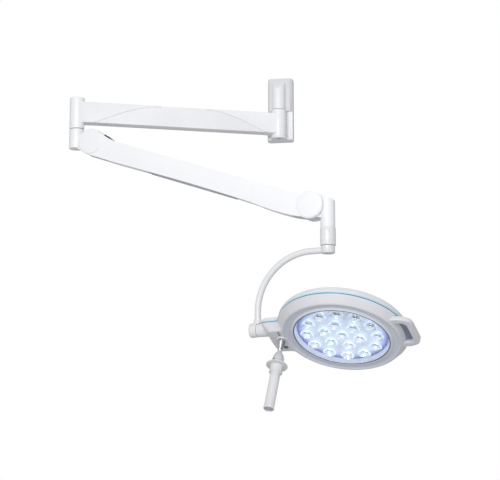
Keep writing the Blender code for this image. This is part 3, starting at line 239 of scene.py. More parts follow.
# starts from a plane drawn together to one vertex, then drawn on from point to point
def drawLine(name, points, closed):
    pickNone()
    bpy.ops.mesh.primitive_plane_add(size=0.01)
    obj = bpy.context.object
    obj.name = name
    obj.data.name = name
    bpy.ops.object.mode_set(mode="EDIT")
    bpy.ops.mesh.select_mode(type="VERT")
    bpy.ops.mesh.merge(type="CENTER")
    last = Vector(points[0])
    bpy.ops.transform.translate(value=last)
    for point in points[1:]:
        point = Vector(point)
        bpy.ops.mesh.extrude_region_move(TRANSFORM_OT_translate={"value": point - last})
        last = point
    if closed:
        bpy.ops.object.mode_set(mode="OBJECT")
        verts = obj.data.vertices
        for vert in verts:
            vert.select = vert.index in (0, len(verts) - 1)
        bpy.ops.object.mode_set(mode="EDIT")
        bpy.ops.mesh.edge_face_add()
    bpy.ops.mesh.select_all(action="SELECT")
    return obj


# turns a profile of (radius, height) pairs about Z
def turnPiece(name, profile, steps=96, closed=False):
    obj = drawLine(name, [(r, 0, z) for r, z in profile], closed)
    bpy.ops.mesh.spin(steps=steps, angle=math.tau, center=(0, 0, 0), axis=(0, 0, 1))
    endEdit()
    return obj


# extrudes a flat outline; plane "xz" goes along Y, plane "xy" along Z
def slabPiece(name, outline, low, high, plane="xz"):
    if plane == "xz":
        points = [(a, low, b) for a, b in outline]
        push = (0, high - low, 0)
    else:
        points = [(a, b, low) for a, b in outline]
        push = (0, 0, high - low)
    obj = drawLine(name, points, True)
    bpy.ops.mesh.edge_face_add()
    bpy.ops.mesh.extrude_region_move(TRANSFORM_OT_translate={"value": push})
    endEdit()
    return obj


def boxPiece(name, low, high):
    x0, y0, z0 = low
    x1, y1, z1 = high
    return slabPiece(name, [(x0, y0), (x1, y0), (x1, y1), (x0, y1)], z0, z1, "xy")


def useModifier(obj, kind, **settings):
    pickOnly(obj)
    bpy.ops.object.modifier_add(type=kind)
    modifier = obj.modifiers[-1]
    for key, value in settings.items():
        setattr(modifier, key, value)
    bpy.ops.object.modifier_apply(modifier=modifier.name)
    return obj


def roundEdges(obj, width, segments=3, angle=35.0):
    return useModifier(obj, "BEVEL", width=width, segments=segments, limit_method="ANGLE",
                       angle_limit=math.radians(angle), use_clamp_overlap=True, harden_normals=False)


def carve(obj, tool, operation="DIFFERENCE"):
    useModifier(obj, "BOOLEAN", operation=operation, solver="EXACT", object=tool)
    bpy.data.objects.remove(tool, do_unlink=True)
    return obj


def turnTo(obj, x=0.0, y=0.0, z=0.0, move=(0, 0, 0)):
    pickOnly(obj)
    obj.rotation_euler = [math.radians(a) for a in (x, y, z)]
    obj.location = move
    bpy.ops.object.transform_apply(location=True, rotation=True, scale=True)
    return obj


def rodPiece(name, radius, low, high, edge=0.0, steps=64):
    if edge:
        turns = (0, math.pi / 8, math.pi / 4, 3 * math.pi / 8, math.pi / 2)
        corner = [(radius - edge + edge * math.sin(a), edge * (1 - math.cos(a))) for a in turns]
        side = [(r, low + h) for r, h in corner] + [(r, high - h) for r, h in reversed(corner)]
    else:
        side = [(radius, low), (radius, high)]
    return turnPiece(name, [(0, low)] + side + [(0, high)], steps)


# a hole across the piece, along its Y
def crossHole(obj, radius, x, z, steps=64, depth=fits["through"]):
    return carve(obj, turnTo(rodPiece("hole", radius, -depth, depth, steps=steps), x=90, move=(x, 0, z)))


# a hole along the piece's Z
def uprightHole(obj, radius, low, high, at=(0, 0), steps=64):
    return carve(obj, turnTo(rodPiece("hole", radius, low, high, steps=steps), move=(*at, 0)))


def finishPiece(obj, place, body, material, slotName, *nodes, angle=32.0):
    pickOnly(obj)
    obj.matrix_world = place
    bpy.ops.object.transform_apply(location=True, rotation=True, scale=True)
    bpy.ops.object.shade_smooth_by_angle(angle=math.radians(angle))
    obj.data.materials.clear()
    obj.data.materials.append(material)
    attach(obj, body)
    if nodes:
        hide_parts(*nodes)
    return obj


def arcPoints(cx, cy, radius, start, end, steps):
    turns = [math.radians(start + (end - start) * i / steps) for i in range(steps + 1)]
    return [(cx + radius * math.cos(t), cy + radius * math.sin(t)) for t in turns]


# wall bracket
bracket = {"half": 0.049, "top": 0.1235, "low": -0.1235, "thick": 0.008, "corner": 0.007, "plateEdge": 0.0011,
           "screwX": 0.031, "screwZ": 0.092, "screwHole": 0.0034, "cableZ": 0.060, "cableHole": 0.011,
           "depth": 0.036, "nose": 0.0245, "shoulderY": -0.0220, "cheekX": 0.0400, "cheekY": -0.0460,
           "upperLow": -0.0091, "upperEdge": 0.0022, "slopeTopY": -0.044, "slopeDrop": 0.002,
           "slopeRise": 1.242, "shell": 0.008, "footZ": -0.1178, "footNose": 0.0300, "footCheekX": 0.0435,
           "footCheekY": -0.0480, "lowerEdge": 0.0012, "columnRadius": 0.0278, "seatGap": 0.0022}
half, corner = bracket["half"], bracket["corner"]
axisY = wallPoint.y
plateOutline = []
for sx, z, start in ((1, bracket["low"] + corner, -90), (1, bracket["top"] - corner, 0),
                     (-1, bracket["top"] - corner, 90), (-1, bracket["low"] + corner, 180)):
    plateOutline += arcPoints(sx * (half - corner), z, corner, start, start + 90, 6)
wallPlate = slabPiece("wallPlate", plateOutline, -bracket["thick"], 0.0)
roundEdges(wallPlate, bracket["plateEdge"])
for sx in (-1, 1):
    for sz in (-1, 1):
        crossHole(wallPlate, bracket["screwHole"], sx * bracket["screwX"], sz * bracket["screwZ"], 24, 0.02)
crossHole(wallPlate, bracket["cableHole"], 0, bracket["cableZ"], 48, 0.02)
finishPiece(wallPlate, atWorld, "bracket", headPaint, "painted_light_grey", "wall_plate")

backY = -bracket["thick"] - fits["gap"]
cheekX, cheekY, shoulderY = bracket["cheekX"], bracket["cheekY"], bracket["shoulderY"]
noseOutline = ([(half, backY), (half, shoulderY), (cheekX, cheekY)]
               + arcPoints(0, axisY, bracket["nose"], 20, -200, 36)
               + [(-cheekX, cheekY), (-half, shoulderY), (-half, backY)])
upperHousing = slabPiece("upperHousing", noseOutline, bracket["upperLow"], bracket["top"], "xy")
bpy.context.view_layer.objects.active = upperHousing
bpy.ops.object.mode_set(mode="EDIT")
bpy.ops.mesh.select_all(action="SELECT")
bpy.ops.mesh.bisect(plane_co=(0, bracket["slopeTopY"], bracket["top"] - bracket["slopeDrop"]),
                    plane_no=(0, -bracket["slopeRise"], 1), use_fill=True, clear_outer=True)
endEdit()
roundEdges(upperHousing, bracket["upperEdge"], 3, 40.0)
pocket = [(-0.041, -0.005), (0.041, -0.005), (0.041, -0.024), (0.018, -0.040), (-0.018, -0.040),
          (-0.041, -0.024)]
carve(upperHousing, slabPiece("pocket", pocket, bracket["upperLow"] + 0.006,
                              bracket["top"] - bracket["shell"], "xy"))
uprightHole(upperHousing, fits["shaftHole"], -0.05, 0.040, (0, axisY))
finishPiece(upperHousing, atWorld, "bracket", whiteCover, "plastic_white", "housing_upper", angle=28)

lowerTop = bracket["upperLow"] - fits["gap"]
lowerHousing = boxPiece("lowerHousing", (-half, -bracket["depth"], bracket["low"]), (half, backY, lowerTop))
cheekX, cheekY = bracket["footCheekX"], bracket["footCheekY"]
footOutline = ([(half - 0.002, -0.010), (half, -0.034), (cheekX, cheekY)]
               + arcPoints(0, axisY, bracket["footNose"], 25, -205, 36)
               + [(-cheekX, cheekY), (-half, -0.034), (-half + 0.002, -0.010)])
foot = slabPiece("foot", footOutline, bracket["low"], bracket["footZ"], "xy")
carve(lowerHousing, foot, "UNION")
seat = rodPiece("seat", bracket["columnRadius"] + bracket["seatGap"], bracket["footZ"] - 0.0002, 0.05)
carve(lowerHousing, turnTo(seat, move=(0, axisY, 0)))
roundEdges(lowerHousing, bracket["lowerEdge"], 2, 40.0)
carve(lowerHousing, boxPiece("hollow", (-half + bracket["shell"], -0.027, bracket["low"] + 0.010),
                             (half - bracket["shell"], 0.0, lowerTop - bracket["shell"])))
uprightHole(lowerHousing, fits["shaftHole"], -0.20, -0.05, (0, axisY))
finishPiece(lowerHousing, atWorld, "bracket", whiteCover, "plastic_white", "housing_lower", angle=28)
print("wall bracket modelled")

# extension arm: two castings with tapered tongues and the cover between them
beam = {"top": -0.0275, "bottom": -0.1065, "half": 0.0255, "edge": 0.0042, "column": 0.0278,
        "columnEdge": 0.0022, "columnTop": -0.0105, "wallColumnLow": -0.1175, "elbowColumnLow": -0.1300,
        "bore": 0.0125, "wallRoot": 0.050, "wallTip": 0.290, "elbowRoot": 0.0559, "elbowTip": 0.3149,
        "tipThickness": 0.0045, "curve": 1.15, "back": 0.0065, "channelStart": 0.034, "seam": 0.00045,
        "tubeHalf": 0.0168, "tubeTop": -0.0397, "tubeLow": -0.0963, "coverInset": 0.0007, "coverDrop": 0.0012,
        "coverEdge": 0.0030}


# the curve on which a casting meets the cover
def jointLine(root, tip, count=26):
    points = []
    for i in range(count + 1):
        t = i / count
        rise = math.sin(t * math.pi / 2) ** beam["curve"]
        height = beam["top"] - beam["tipThickness"] - beam["bottom"]
        points.append((root + (tip - root) * t, beam["bottom"] + height * rise))
    return points


def shifted(points, dx, dz):
    return [(x + dx, z + dz) for x, z in points]


reach = arm["reach"]
wallLine = jointLine(beam["wallRoot"], beam["wallTip"])
elbowLine = jointLine(reach - beam["elbowRoot"], reach - beam["elbowTip"])


def makeCasting(name, columnX, outline, columnLow, channelLow, channelHigh, node):
    body = slabPiece(name, outline, -beam["half"], beam["half"])
    roundEdges(body, beam["edge"], 4, 50.0)
    column = rodPiece("column", beam["column"], columnLow, beam["columnTop"], beam["columnEdge"], 96)
    carve(body, turnTo(column, move=(columnX, 0, 0)), "UNION")
    boreTop = 0.1 if columnX == 0 else beam["columnTop"] - 0.006
    uprightHole(body, beam["bore"], -0.2, boreTop, (columnX, 0))
    carve(body, boxPiece("channel", (channelLow, -beam["tubeHalf"], beam["tubeLow"]),
                         (channelHigh, beam["tubeHalf"], beam["tubeTop"])))
    return finishPiece(body, atWall, "extension_arm", whitePaint, "painted_white", node, angle=38)


middle, back, channelStart = 0.40, beam["back"], beam["channelStart"]
wallOutline = ([(back, beam["top"]), (back, beam["bottom"])] + wallLine
               + [(beam["wallTip"], beam["top"])])
elbowOutline = ([(reach - back, beam["top"]), (reach - back, beam["bottom"])] + elbowLine
                + [(reach - beam["elbowTip"], beam["top"])])
makeCasting("wallCasting", 0.0, wallOutline, beam["wallColumnLow"], channelStart, middle,
            "extension_casting_wall")
makeCasting("elbowCasting", reach, elbowOutline, beam["elbowColumnLow"], middle, reach - channelStart,
            "extension_casting_elbow")
seam, coverTop, coverLow = beam["seam"], beam["top"] - beam["coverDrop"], beam["bottom"] + 0.0008
coverOutline = (shifted(wallLine, seam, -fits["gap"])[1:]
                + [(beam["wallTip"] + seam, coverTop), (reach - beam["elbowTip"] - seam, coverTop)]
                + shifted(elbowLine, -seam, -fits["gap"])[:0:-1]
                + [(reach - beam["elbowRoot"] - 0.004, coverLow), (beam["wallRoot"] + 0.004, coverLow)])
coverHalf = beam["half"] - beam["coverInset"]
armCover = slabPiece("armCover", coverOutline, -coverHalf, coverHalf)
roundEdges(armCover, beam["coverEdge"], 3, 60.0)
carve(armCover, boxPiece("channel", (-0.1, -beam["tubeHalf"], beam["tubeLow"]),
                         (1.0, beam["tubeHalf"], beam["tubeTop"])))
finishPiece(armCover, atWall, "extension_arm", whiteCover, "plastic_white", "extension_cover", angle=38)
print("extension arm modelled")

# elbow knuckle
knuckle = {"top": -0.1314, "low": -0.2060, "edge": 0.0036, "tongue": 0.0190, "tongueRadius": 0.036,
           "tongueRise": 0.0353, "tongueEdge": 0.0024, "shaftDepth": 0.0505, "pin": 0.0083, "rodPin": 0.0033,
           "rodDrop": 0.022, "slot": 0.0062, "brakeRise": 0.0183}
px, pz = arm["liftOffset"], arm["liftHeight"]
elbow = rodPiece("elbowKnuckle", beam["column"], knuckle["low"], knuckle["top"], knuckle["edge"], 96)
tongueTop = pz + knuckle["tongueRise"]
tongueOutline = ([(0.0, tongueTop), (0.0, pz - 0.012), (0.040, pz - 0.034)]
                 + arcPoints(px, pz, knuckle["tongueRadius"], -105, 60, 28) + [(px - 0.02, tongueTop)])
tongue = slabPiece("tongue", tongueOutline, -knuckle["tongue"], knuckle["tongue"])
roundEdges(tongue, knuckle["tongueEdge"], 3, 50.0)
carve(elbow, tongue, "UNION")
carve(elbow, rodPiece("hole", fits["shaftHole"], knuckle["top"] - knuckle["shaftDepth"], 0.0))
slotOutline = [(-0.0125, -0.0100), (0.0085, -0.0100), (0.0122, -0.0074), (0.0125, 0.060), (0.060, 0.060),
               (0.060, -0.060), (-0.0125, -0.060)]  # room for the parallel rod at both ends of the lift
slot = slabPiece("slot", slotOutline, -knuckle["slot"], knuckle["slot"])
carve(elbow, turnTo(slot, move=(px, 0, pz)))
crossHole(elbow, knuckle["pin"], px, pz)
crossHole(elbow, knuckle["rodPin"], px, pz - knuckle["rodDrop"], 32)
carve(elbow, turnTo(rodPiece("hole", fits["screwHole"], -0.0300, -0.0115, steps=32), y=90,
                    move=(0, 0, pz + knuckle["brakeRise"])))
finishPiece(elbow, atElbow, "elbow_knuckle", whitePaint, "painted_white", "elbow_knuckle")
print("elbow knuckle modelled")

# spring arm: body with round ends, four caps, strip along the underside
springArm = {"half": 0.034, "top": 0.025, "bottom": -0.047, "disk": 0.049, "slot": 0.0205, "edge": 0.0078,
             "capInset": 0.0025, "capProud": 0.0032, "stripLow": 0.262, "stripHigh": 0.620,
             "stripHalf": 0.019, "stripProud": 0.0035, "stripEdge": 0.0011, "slotShadeEdge": 0.0010}
far = arm["spring"]
top, bottom = springArm["top"], springArm["bottom"]


def smoothLine(points, count):
    # a curve that passes through every point
    line = []
    for i in range(len(points) - 1):
        a = Vector(points[max(i - 1, 0)])
        b = Vector(points[i])
        c = Vector(points[i + 1])
        d = Vector(points[min(i + 2, len(points) - 1)])
        for k in range(count):
            t = k / count
            line.append(tuple(0.5 * ((2 * b) + (c - a) * t + (2 * a - 5 * b + 4 * c - d) * t * t
                                     + (3 * b - 3 * c + d - a) * t ** 3)))
    return line + [tuple(points[-1])]


upperEdge = smoothLine([(0.0305, 0.0392), (0.0600, top + 0.0062), (0.0900, top + 0.0012), (0.130, top),
                        (0.45, top + 0.0003), (far - 0.070, top + 0.0010), (far - 0.0400, top + 0.0048)], 5)
lowerEdge = smoothLine([(far - 0.022, bottom - 0.0020), (far - 0.055, bottom - 0.0064),
                        (far - 0.110, bottom - 0.0078), (far - 0.170, bottom - 0.0060),
                        (far - 0.250, bottom - 0.0015), (0.400, bottom + 0.001), (0.130, bottom - 0.0025),
                        (0.060, bottom - 0.0020), (0.0120, -0.0485)], 5)
armOutline = (arcPoints(0, 0, springArm["disk"], 262, 56, 44) + upperEdge
              + arcPoints(far, 0, springArm["disk"], 140, -104, 52) + lowerEdge)
armBody = slabPiece("springArmBody", armOutline, -springArm["half"], springArm["half"])
roundEdges(armBody, springArm["edge"], 5, 60.0)
for low, high in (((-0.06, -0.06), (0.078, 0.06)), ((far - 0.060, -0.07), (far + 0.06, 0.06))):
    outline = [low, (high[0], low[1]), high, (low[0], high[1])]
    carve(armBody, slabPiece("slot", outline, -springArm["slot"], springArm["slot"]))
carve(armBody, boxPiece("hollow", (0.050, -0.030, bottom + 0.005), (far - 0.050, 0.030, top - 0.0045)))
seatHalf = springArm["stripHalf"] + fits["gap"]
carve(armBody, boxPiece("stripSeat", (springArm["stripLow"] - fits["gap"], -seatHalf, bottom - 0.023),
                        (springArm["stripHigh"] + fits["gap"], seatHalf, bottom + 0.017)))
for x in (0.0, far):
    crossHole(armBody, knuckle["pin"], x, 0)
finishPiece(armBody, atArm, "spring_arm", whitePaint, "painted_white", "spring_arm_body", angle=38)

# a dark block in the open slot on top near the elbow: painted shade of the slot
slotShadeOutline = [(0.0400, 0.0290), (0.0400, 0.0400), (0.0440, 0.0398), (0.0560, 0.0350), (0.0700, 0.0306),
                 (0.0745, 0.0270), (0.0745, 0.0230), (0.0600, 0.0240)]
slotShadeHalf = springArm["slot"] - fits["gap"]
slotShadeFill = slabPiece("slotShadeBlock", slotShadeOutline, -slotShadeHalf, slotShadeHalf)
roundEdges(slotShadeFill, springArm["slotShadeEdge"])
finishPiece(slotShadeFill, atArm, "spring_arm", slotShadeDark, "bush_plastic")
strip = boxPiece("undersideStrip",
                 (springArm["stripLow"], -springArm["stripHalf"], bottom - springArm["stripProud"]),
                 (springArm["stripHigh"], springArm["stripHalf"], bottom + 0.005))
roundEdges(strip, springArm["stripEdge"])
finishPiece(strip, atArm, "spring_arm", seamPlastic, "plastic_slate", "spring_arm_strip")

capRadius = springArm["disk"] - springArm["capInset"]
capProfile = [(0, 0.0003), (capRadius, 0.0003), (capRadius, 0.0019), (capRadius - 0.0004, 0.0026),
              (capRadius - 0.0014, 0.0031), (capRadius - 0.0030, springArm["capProud"]),
              (capRadius * 0.6, springArm["capProud"] + 0.0006), (0, springArm["capProud"] + 0.0012)]
for end, x in (("elbow", 0.0), ("lamp", far)):
    for side, sign in (("front", 1), ("back", -1)):
        cap = turnPiece(f"{end}Cap{side.capitalize()}", capProfile, 128)
        turnTo(cap, x=-90 * sign, move=(x, sign * springArm["half"], 0))
        finishPiece(cap, atArm, "spring_arm", whiteCover, "plastic_white", f"cap_{end}_{side}")
print("spring arm modelled")

# lamp knuckle and its sleeve
lampEnd = {"tube": 0.0257, "tubeTop": 0.050, "edge": 0.0012, "cheekGap": 0.0016, "rodPin": 0.0036,
           "sleeve": 0.0274, "sleeveTop": -0.0820, "sleeveLow": -0.1445, "brakeZ": -0.112, "hub": 0.0243,
           "hubLow": -0.1725, "washer": 0.0014}
lx = -arm["lampOffset"]
lampKnuckle = rodPiece("lampKnuckle", lampEnd["tube"], lampEnd["sleeveTop"] + fits["gap"], lampEnd["tubeTop"],
                       steps=96)
lampTongue = slabPiece("tongue", arcPoints(lx, 0, knuckle["tongueRadius"], 100, 262, 28)
                       + [(lx + 0.012, -0.042), (0.0, -0.048), (0.0, 0.046), (lx + 0.012, 0.046)],
                       -knuckle["tongue"], knuckle["tongue"])
carve(lampKnuckle, lampTongue, "UNION")
slantLine = smoothLine([(-0.045, 0.0500), (-0.020, 0.0400), (0.000, 0.0293), (0.0150, 0.0212),
                        (0.0215, 0.0165), (0.0248, 0.0120), (0.0262, 0.0050)], 4)
aboveSlant = [(-0.10, 0.0535)] + slantLine + [(0.05, 0.0050), (0.05, 0.10), (-0.10, 0.10)]
carve(lampKnuckle, slabPiece("slant", aboveSlant, -0.06, 0.06))
for low, high in ((0.0200, 0.060), (-0.060, -0.0200)):
    cheek = rodPiece("cheek", springArm["disk"] + lampEnd["cheekGap"], low, high, steps=96)
    carve(lampKnuckle, turnTo(cheek, x=90, move=(lx, 0, 0)))
roundEdges(lampKnuckle, lampEnd["edge"], 2, 40.0)
lampSlot = [(-0.060, 0.060), (-0.0125, 0.060), (-0.0125, 0.0003), (-0.0038, -0.0100), (0.0125, -0.0100),
            (0.0125, -0.036), (-0.0125, -0.060), (-0.060, -0.060)]
carve(lampKnuckle, turnTo(slabPiece("slot", lampSlot, -knuckle["slot"], knuckle["slot"]), move=(lx, 0, 0)))
crossHole(lampKnuckle, knuckle["pin"], lx, 0)
crossHole(lampKnuckle, lampEnd["rodPin"], lx, -knuckle["rodDrop"], 32)
carve(lampKnuckle, rodPiece("hole", beam["bore"], -0.20, -0.030))
finishPiece(lampKnuckle, atLamp, "lamp_knuckle", whitePaint, "painted_white", "lamp_knuckle")

sr, st, sl = lampEnd["sleeve"], lampEnd["sleeveTop"], lampEnd["sleeveLow"]
sleeveProfile = [(beam["bore"], sl), (sr - 0.0016, sl), (sr - 0.0005, sl + 0.0004), (sr, sl + 0.0014),
                 (sr, -0.1300), (sr - 0.0006, -0.1293), (sr - 0.0006, -0.1283), (sr, -0.1276),
                 (sr, st - 0.0020), (sr - 0.0006, st - 0.0006), (sr - 0.0018, st), (beam["bore"], st)]
sleeve = turnPiece("lampSleeve", sleeveProfile, 96, True)
carve(sleeve, turnTo(rodPiece("hole", fits["screwHole"], 0.0100, 0.0300, steps=32), x=-90,
                     move=(0, 0, lampEnd["brakeZ"])))
finishPiece(sleeve, atLamp, "lamp_knuckle", yokePaint, "painted_light_grey", "lamp_sleeve")
print("lamp knuckle modelled")

# yoke
yoke = {"bowZ": -0.1597, "tube": 0.0112, "bowStart": 0.0135, "straight": 0.0621, "radius": 0.2030,
        "tiltZ": -0.4280, "knuckle": 0.0250, "length": 0.0270, "stub": 0.0243, "shaft": 0.009}
hr, hl = lampEnd["hub"], lampEnd["hubLow"]
hubTop = lampEnd["sleeveLow"] - lampEnd["washer"]
hubProfile = [(0, hl), (hr - 0.0040, hl), (hr - 0.0022, hl + 0.0004), (hr - 0.0008, hl + 0.0014),
              (hr, hl + 0.0034), (hr, hubTop - 0.0010), (hr - 0.0008, hubTop), (yoke["shaft"], hubTop),
              (yoke["shaft"], -0.0340), (0.0082, -0.0332), (0, -0.0332)]
hub = turnPiece("yokeHub", hubProfile, 96)
bowHole = yoke["tube"] + fits["gap"]
carve(hub, turnTo(rodPiece("hole", bowHole, -0.05, -0.0120, steps=48), y=90, move=(0, 0, yoke["bowZ"])))
finishPiece(hub, atYoke, "yoke", yokePaint, "painted_light_grey", "yoke_hub")

pickNone()
bpy.ops.mesh.primitive_circle_add(vertices=40, radius=yoke["tube"], fill_type="NGON",
                                  rotation=(0, math.pi / 2, 0),
                                  location=(-yoke["bowStart"], 0, yoke["bowZ"]))
bow = bpy.context.object
bow.name = "yokeBow"
bpy.ops.object.transform_apply(location=True, rotation=True, scale=True)
bpy.ops.object.mode_set(mode="EDIT")
bpy.ops.mesh.select_all(action="SELECT")
bpy.ops.mesh.extrude_region_move(
    TRANSFORM_OT_translate={"value": (yoke["bowStart"] - yoke["straight"], 0, 0)})
bpy.ops.mesh.spin(steps=40, angle=math.pi / 2, center=(-yoke["straight"], 0, yoke["bowZ"] - yoke["radius"]),
                  axis=(0, 1, 0))
bowEnd = yoke["tiltZ"] + yoke["knuckle"] + 0.0040
bpy.ops.mesh.extrude_region_move(
    TRANSFORM_OT_translate={"value": (0, 0, bowEnd - yoke["bowZ"] + yoke["radius"])})
endEdit()
finishPiece(bow, atYoke, "yoke", yokePaint, "painted_light_grey", "yoke_bow")

bowX = -yoke["straight"] - yoke["radius"]
tiltHousing = turnTo(rodPiece("tiltKnuckle", yoke["knuckle"], -yoke["length"], -0.0007, 0.0026, 96), y=90)
collarR = yoke["tube"] + 0.0016
neck = turnPiece("neck", [(0, 0.010), (0.0155, 0.010), (0.0152, 0.0262), (0.0146, 0.0290), (0.0136, 0.0316),
                          (collarR + 0.0004, 0.0336), (collarR, 0.0352), (collarR, 0.0394),
                          (collarR - 0.0006, 0.0400), (0, 0.0400)], 64)
carve(tiltHousing, neck, "UNION")
carve(tiltHousing, turnTo(rodPiece("room", yoke["knuckle"] + 0.0012, -fits["gap"], 0.030, steps=96), y=90))
carve(tiltHousing, rodPiece("hole", bowHole, yoke["knuckle"] + 0.0036, 0.08))
carve(tiltHousing, turnTo(rodPiece("hole", fits["shaftHole"], -fits["through"], fits["through"]), y=90))
uprightHole(tiltHousing, 0.0041, -0.0300, -0.0105, (-0.0150, 0), 32)  # for the brake screw
finishPiece(tiltHousing, atYoke @ Matrix.Translation((bowX, 0, yoke["tiltZ"])), "yoke", yokePaint,
            "painted_light_grey", "tilt_knuckle")

tiltCap = turnPiece("tiltCap", [(0, 0), (0.0165, 0), (0.0166, 0.0010), (0.0160, 0.0018), (0.0148, 0.0025),
                                (0.0090, 0.0030), (0, 0.0032)], 72)
turnTo(tiltCap, y=-90)
capX = bowX - yoke["length"] - fits["gap"]
finishPiece(tiltCap, atYoke @ Matrix.Translation((capX, 0, yoke["tiltZ"])), "yoke", headPaint,
            "plastic_light_grey", "tilt_cap")
print("yoke modelled")

# lamp head: every ring follows one outline, a circle with the arm-side block blended into it
def blockReach(angle, rise):
    end = head["wingEnd"] + head["wingFlare"] * rise
    side = head["wingHalf"] + head["wingHalfFlare"] * rise
    corner = head["wingCorner"]
    c, s = -math.cos(angle), abs(math.sin(angle))
    if c <= 0.05:
        return 0.0
    if end / c * s <= side - corner:
        return end / c
    if s > 0.01 and side / s * c <= end - corner:
        return side / s
    ax, ay = end - corner, side - corner
    along = c * ax + s * ay
    return along + math.sqrt(max(0.0, corner * corner - (ax * ax + ay * ay - along * along)))


def headReach(angle, rise, keep=1.0):
    circle = head["rim"] + head["flare"] * rise
    block = blockReach(angle, rise)
    blend = head["fillet"]
    gap = max(blend - abs(circle - block), 0.0) / blend
    joined = max(circle, block) + gap * gap * blend / 4
    return circle + (joined - circle) * keep


def spreadAngle(angle):
    # closer points round the arm-side block, which lies at half a turn
    turn = (angle % math.tau) - math.pi
    return math.pi + turn - head["crowding"] * math.sin(turn)


# stacked circles, each then moved to its own outline; a level is (kind, offset, height, keep): "out" lies
# offset inside the head's outline, "in" is a circle of that radius, and keep is the block's share of it
def stackPiece(name, levels, closeRing):
    pickNone()
    bpy.ops.mesh.primitive_circle_add(vertices=head["steps"], radius=0.1)
    obj = bpy.context.object
    obj.name = name
    obj.data.name = name
    bpy.ops.object.mode_set(mode="EDIT")
    bpy.ops.mesh.select_all(action="SELECT")
    for _ in levels[1:]:
        bpy.ops.mesh.extrude_region_move(TRANSFORM_OT_translate={"value": (0, 0, 0.01)})
    bpy.ops.object.mode_set(mode="OBJECT")
    for vert in obj.data.vertices:
        level = levels[round(vert.co.z / 0.01)]
        angle = spreadAngle(math.atan2(vert.co.y, vert.co.x))
        kind, offset, height, keep = level
        if kind == "out":
            radius = headReach(angle, min(max(height / head["seam"], 0.0), 1.0), keep) - offset
        else:
            radius = offset
        vert.co = (radius * math.cos(angle), radius * math.sin(angle), height)
        vert.select = False
    bpy.ops.object.mode_set(mode="EDIT")
    if closeRing:
        bpy.ops.mesh.select_all(action="DESELECT")
        bpy.ops.mesh.select_non_manifold(extend=False, use_wire=False, use_multi_face=False,
                                         use_non_contiguous=False, use_verts=False)
        bpy.ops.mesh.bridge_edge_loops()
    endEdit()
    return obj


# a rod on the tilt axis
def bossTool(radius, low, high):
    return turnTo(rodPiece("boss", radius, low, high, steps=96), y=90, move=(0, 0, -head["discZ"]))


def bossHole(obj):
    return carve(obj, bossTool(yoke["stub"] + fits["gap"], head["bossFar"], head["bossNear"]))


seamZ, wall = head["seam"], head["wall"]
innerRim = head["rim"] - wall
shellLevels = [("in", innerRim, 0.0042, 1), ("in", innerRim, 0.0010, 1), ("in", innerRim + 0.0006, 0.0002, 1),
               ("out", 0.0040, 0.0000, 1), ("out", 0.0022, 0.0004, 1), ("out", 0.0009, 0.0014, 1),
               ("out", 0.0002, 0.0028, 1), ("out", 0.0, 0.0044, 1), ("out", 0.0, 0.0120, 1),
               ("out", 0.0, 0.0200, 1), ("out", 0.0, 0.0276, 1), ("out", 0.0004, 0.0290, 1),
               ("out", 0.0013, 0.0296, 1), ("out", wall, 0.0296, 1), ("out", wall, 0.0170, 1),
               ("out", wall, 0.0046, 1)]
shell = stackPiece("headShell", shellLevels, True)
bossHole(shell)
controls = {"power": (-0.2190, 0.0380), "powerRadius": 0.0085, "up": (-0.2155, -0.0395),
            "down": (-0.2155, -0.0525), "keyRadius": 0.0042, "handle": (-0.2160, -0.0120),
            "handleHole": 0.0063}
powerHole, keyHole = controls["powerRadius"] + fits["gap"], controls["keyRadius"] + fits["gap"]
for at, radius in ((controls["power"], powerHole), (controls["up"], keyHole), (controls["down"], keyHole),
                   (controls["handle"], controls["handleHole"])):
    uprightHole(shell, radius, -0.01, 0.02, at, 48)
finishPiece(shell, atDisc, "lamp_head", headPaint, "painted_light_grey", "head_shell", angle=30)

trimLow, trimHigh = seamZ + fits["gap"], seamZ + 0.0078
grooveShadeTop = trimLow + 0.0027
# the lower, dark teal ring is painted shade of the groove at the seam; the pale blue band lies above it
for name, low, high, material in (("seamGrooveShade", trimLow, grooveShadeTop, grooveShadeTeal),
                                  ("trimBand", grooveShadeTop + 0.0001, trimHigh, blueBand)):
    inset = 0.0010 if name == "seamGrooveShade" else 0.0
    levels = [("out", 0.0055, low, 1), ("out", 0.0012 + inset, low, 1),
              ("out", 0.0004 + inset, low + 0.0004, 1), ("out", 0.0002 + inset, low + 0.0008, 1),
              ("out", 0.0002 + inset, high - 0.0008, 1), ("out", 0.0004 + inset, high - 0.0004, 1),
              ("out", 0.0012 + inset, high, 1), ("out", 0.0055, high, 1)]
    ring = stackPiece(name, levels, True)
    bossHole(ring)
    finishPiece(ring, atDisc, "lamp_head", material, "trim_blue", "trim_ring", angle=30)

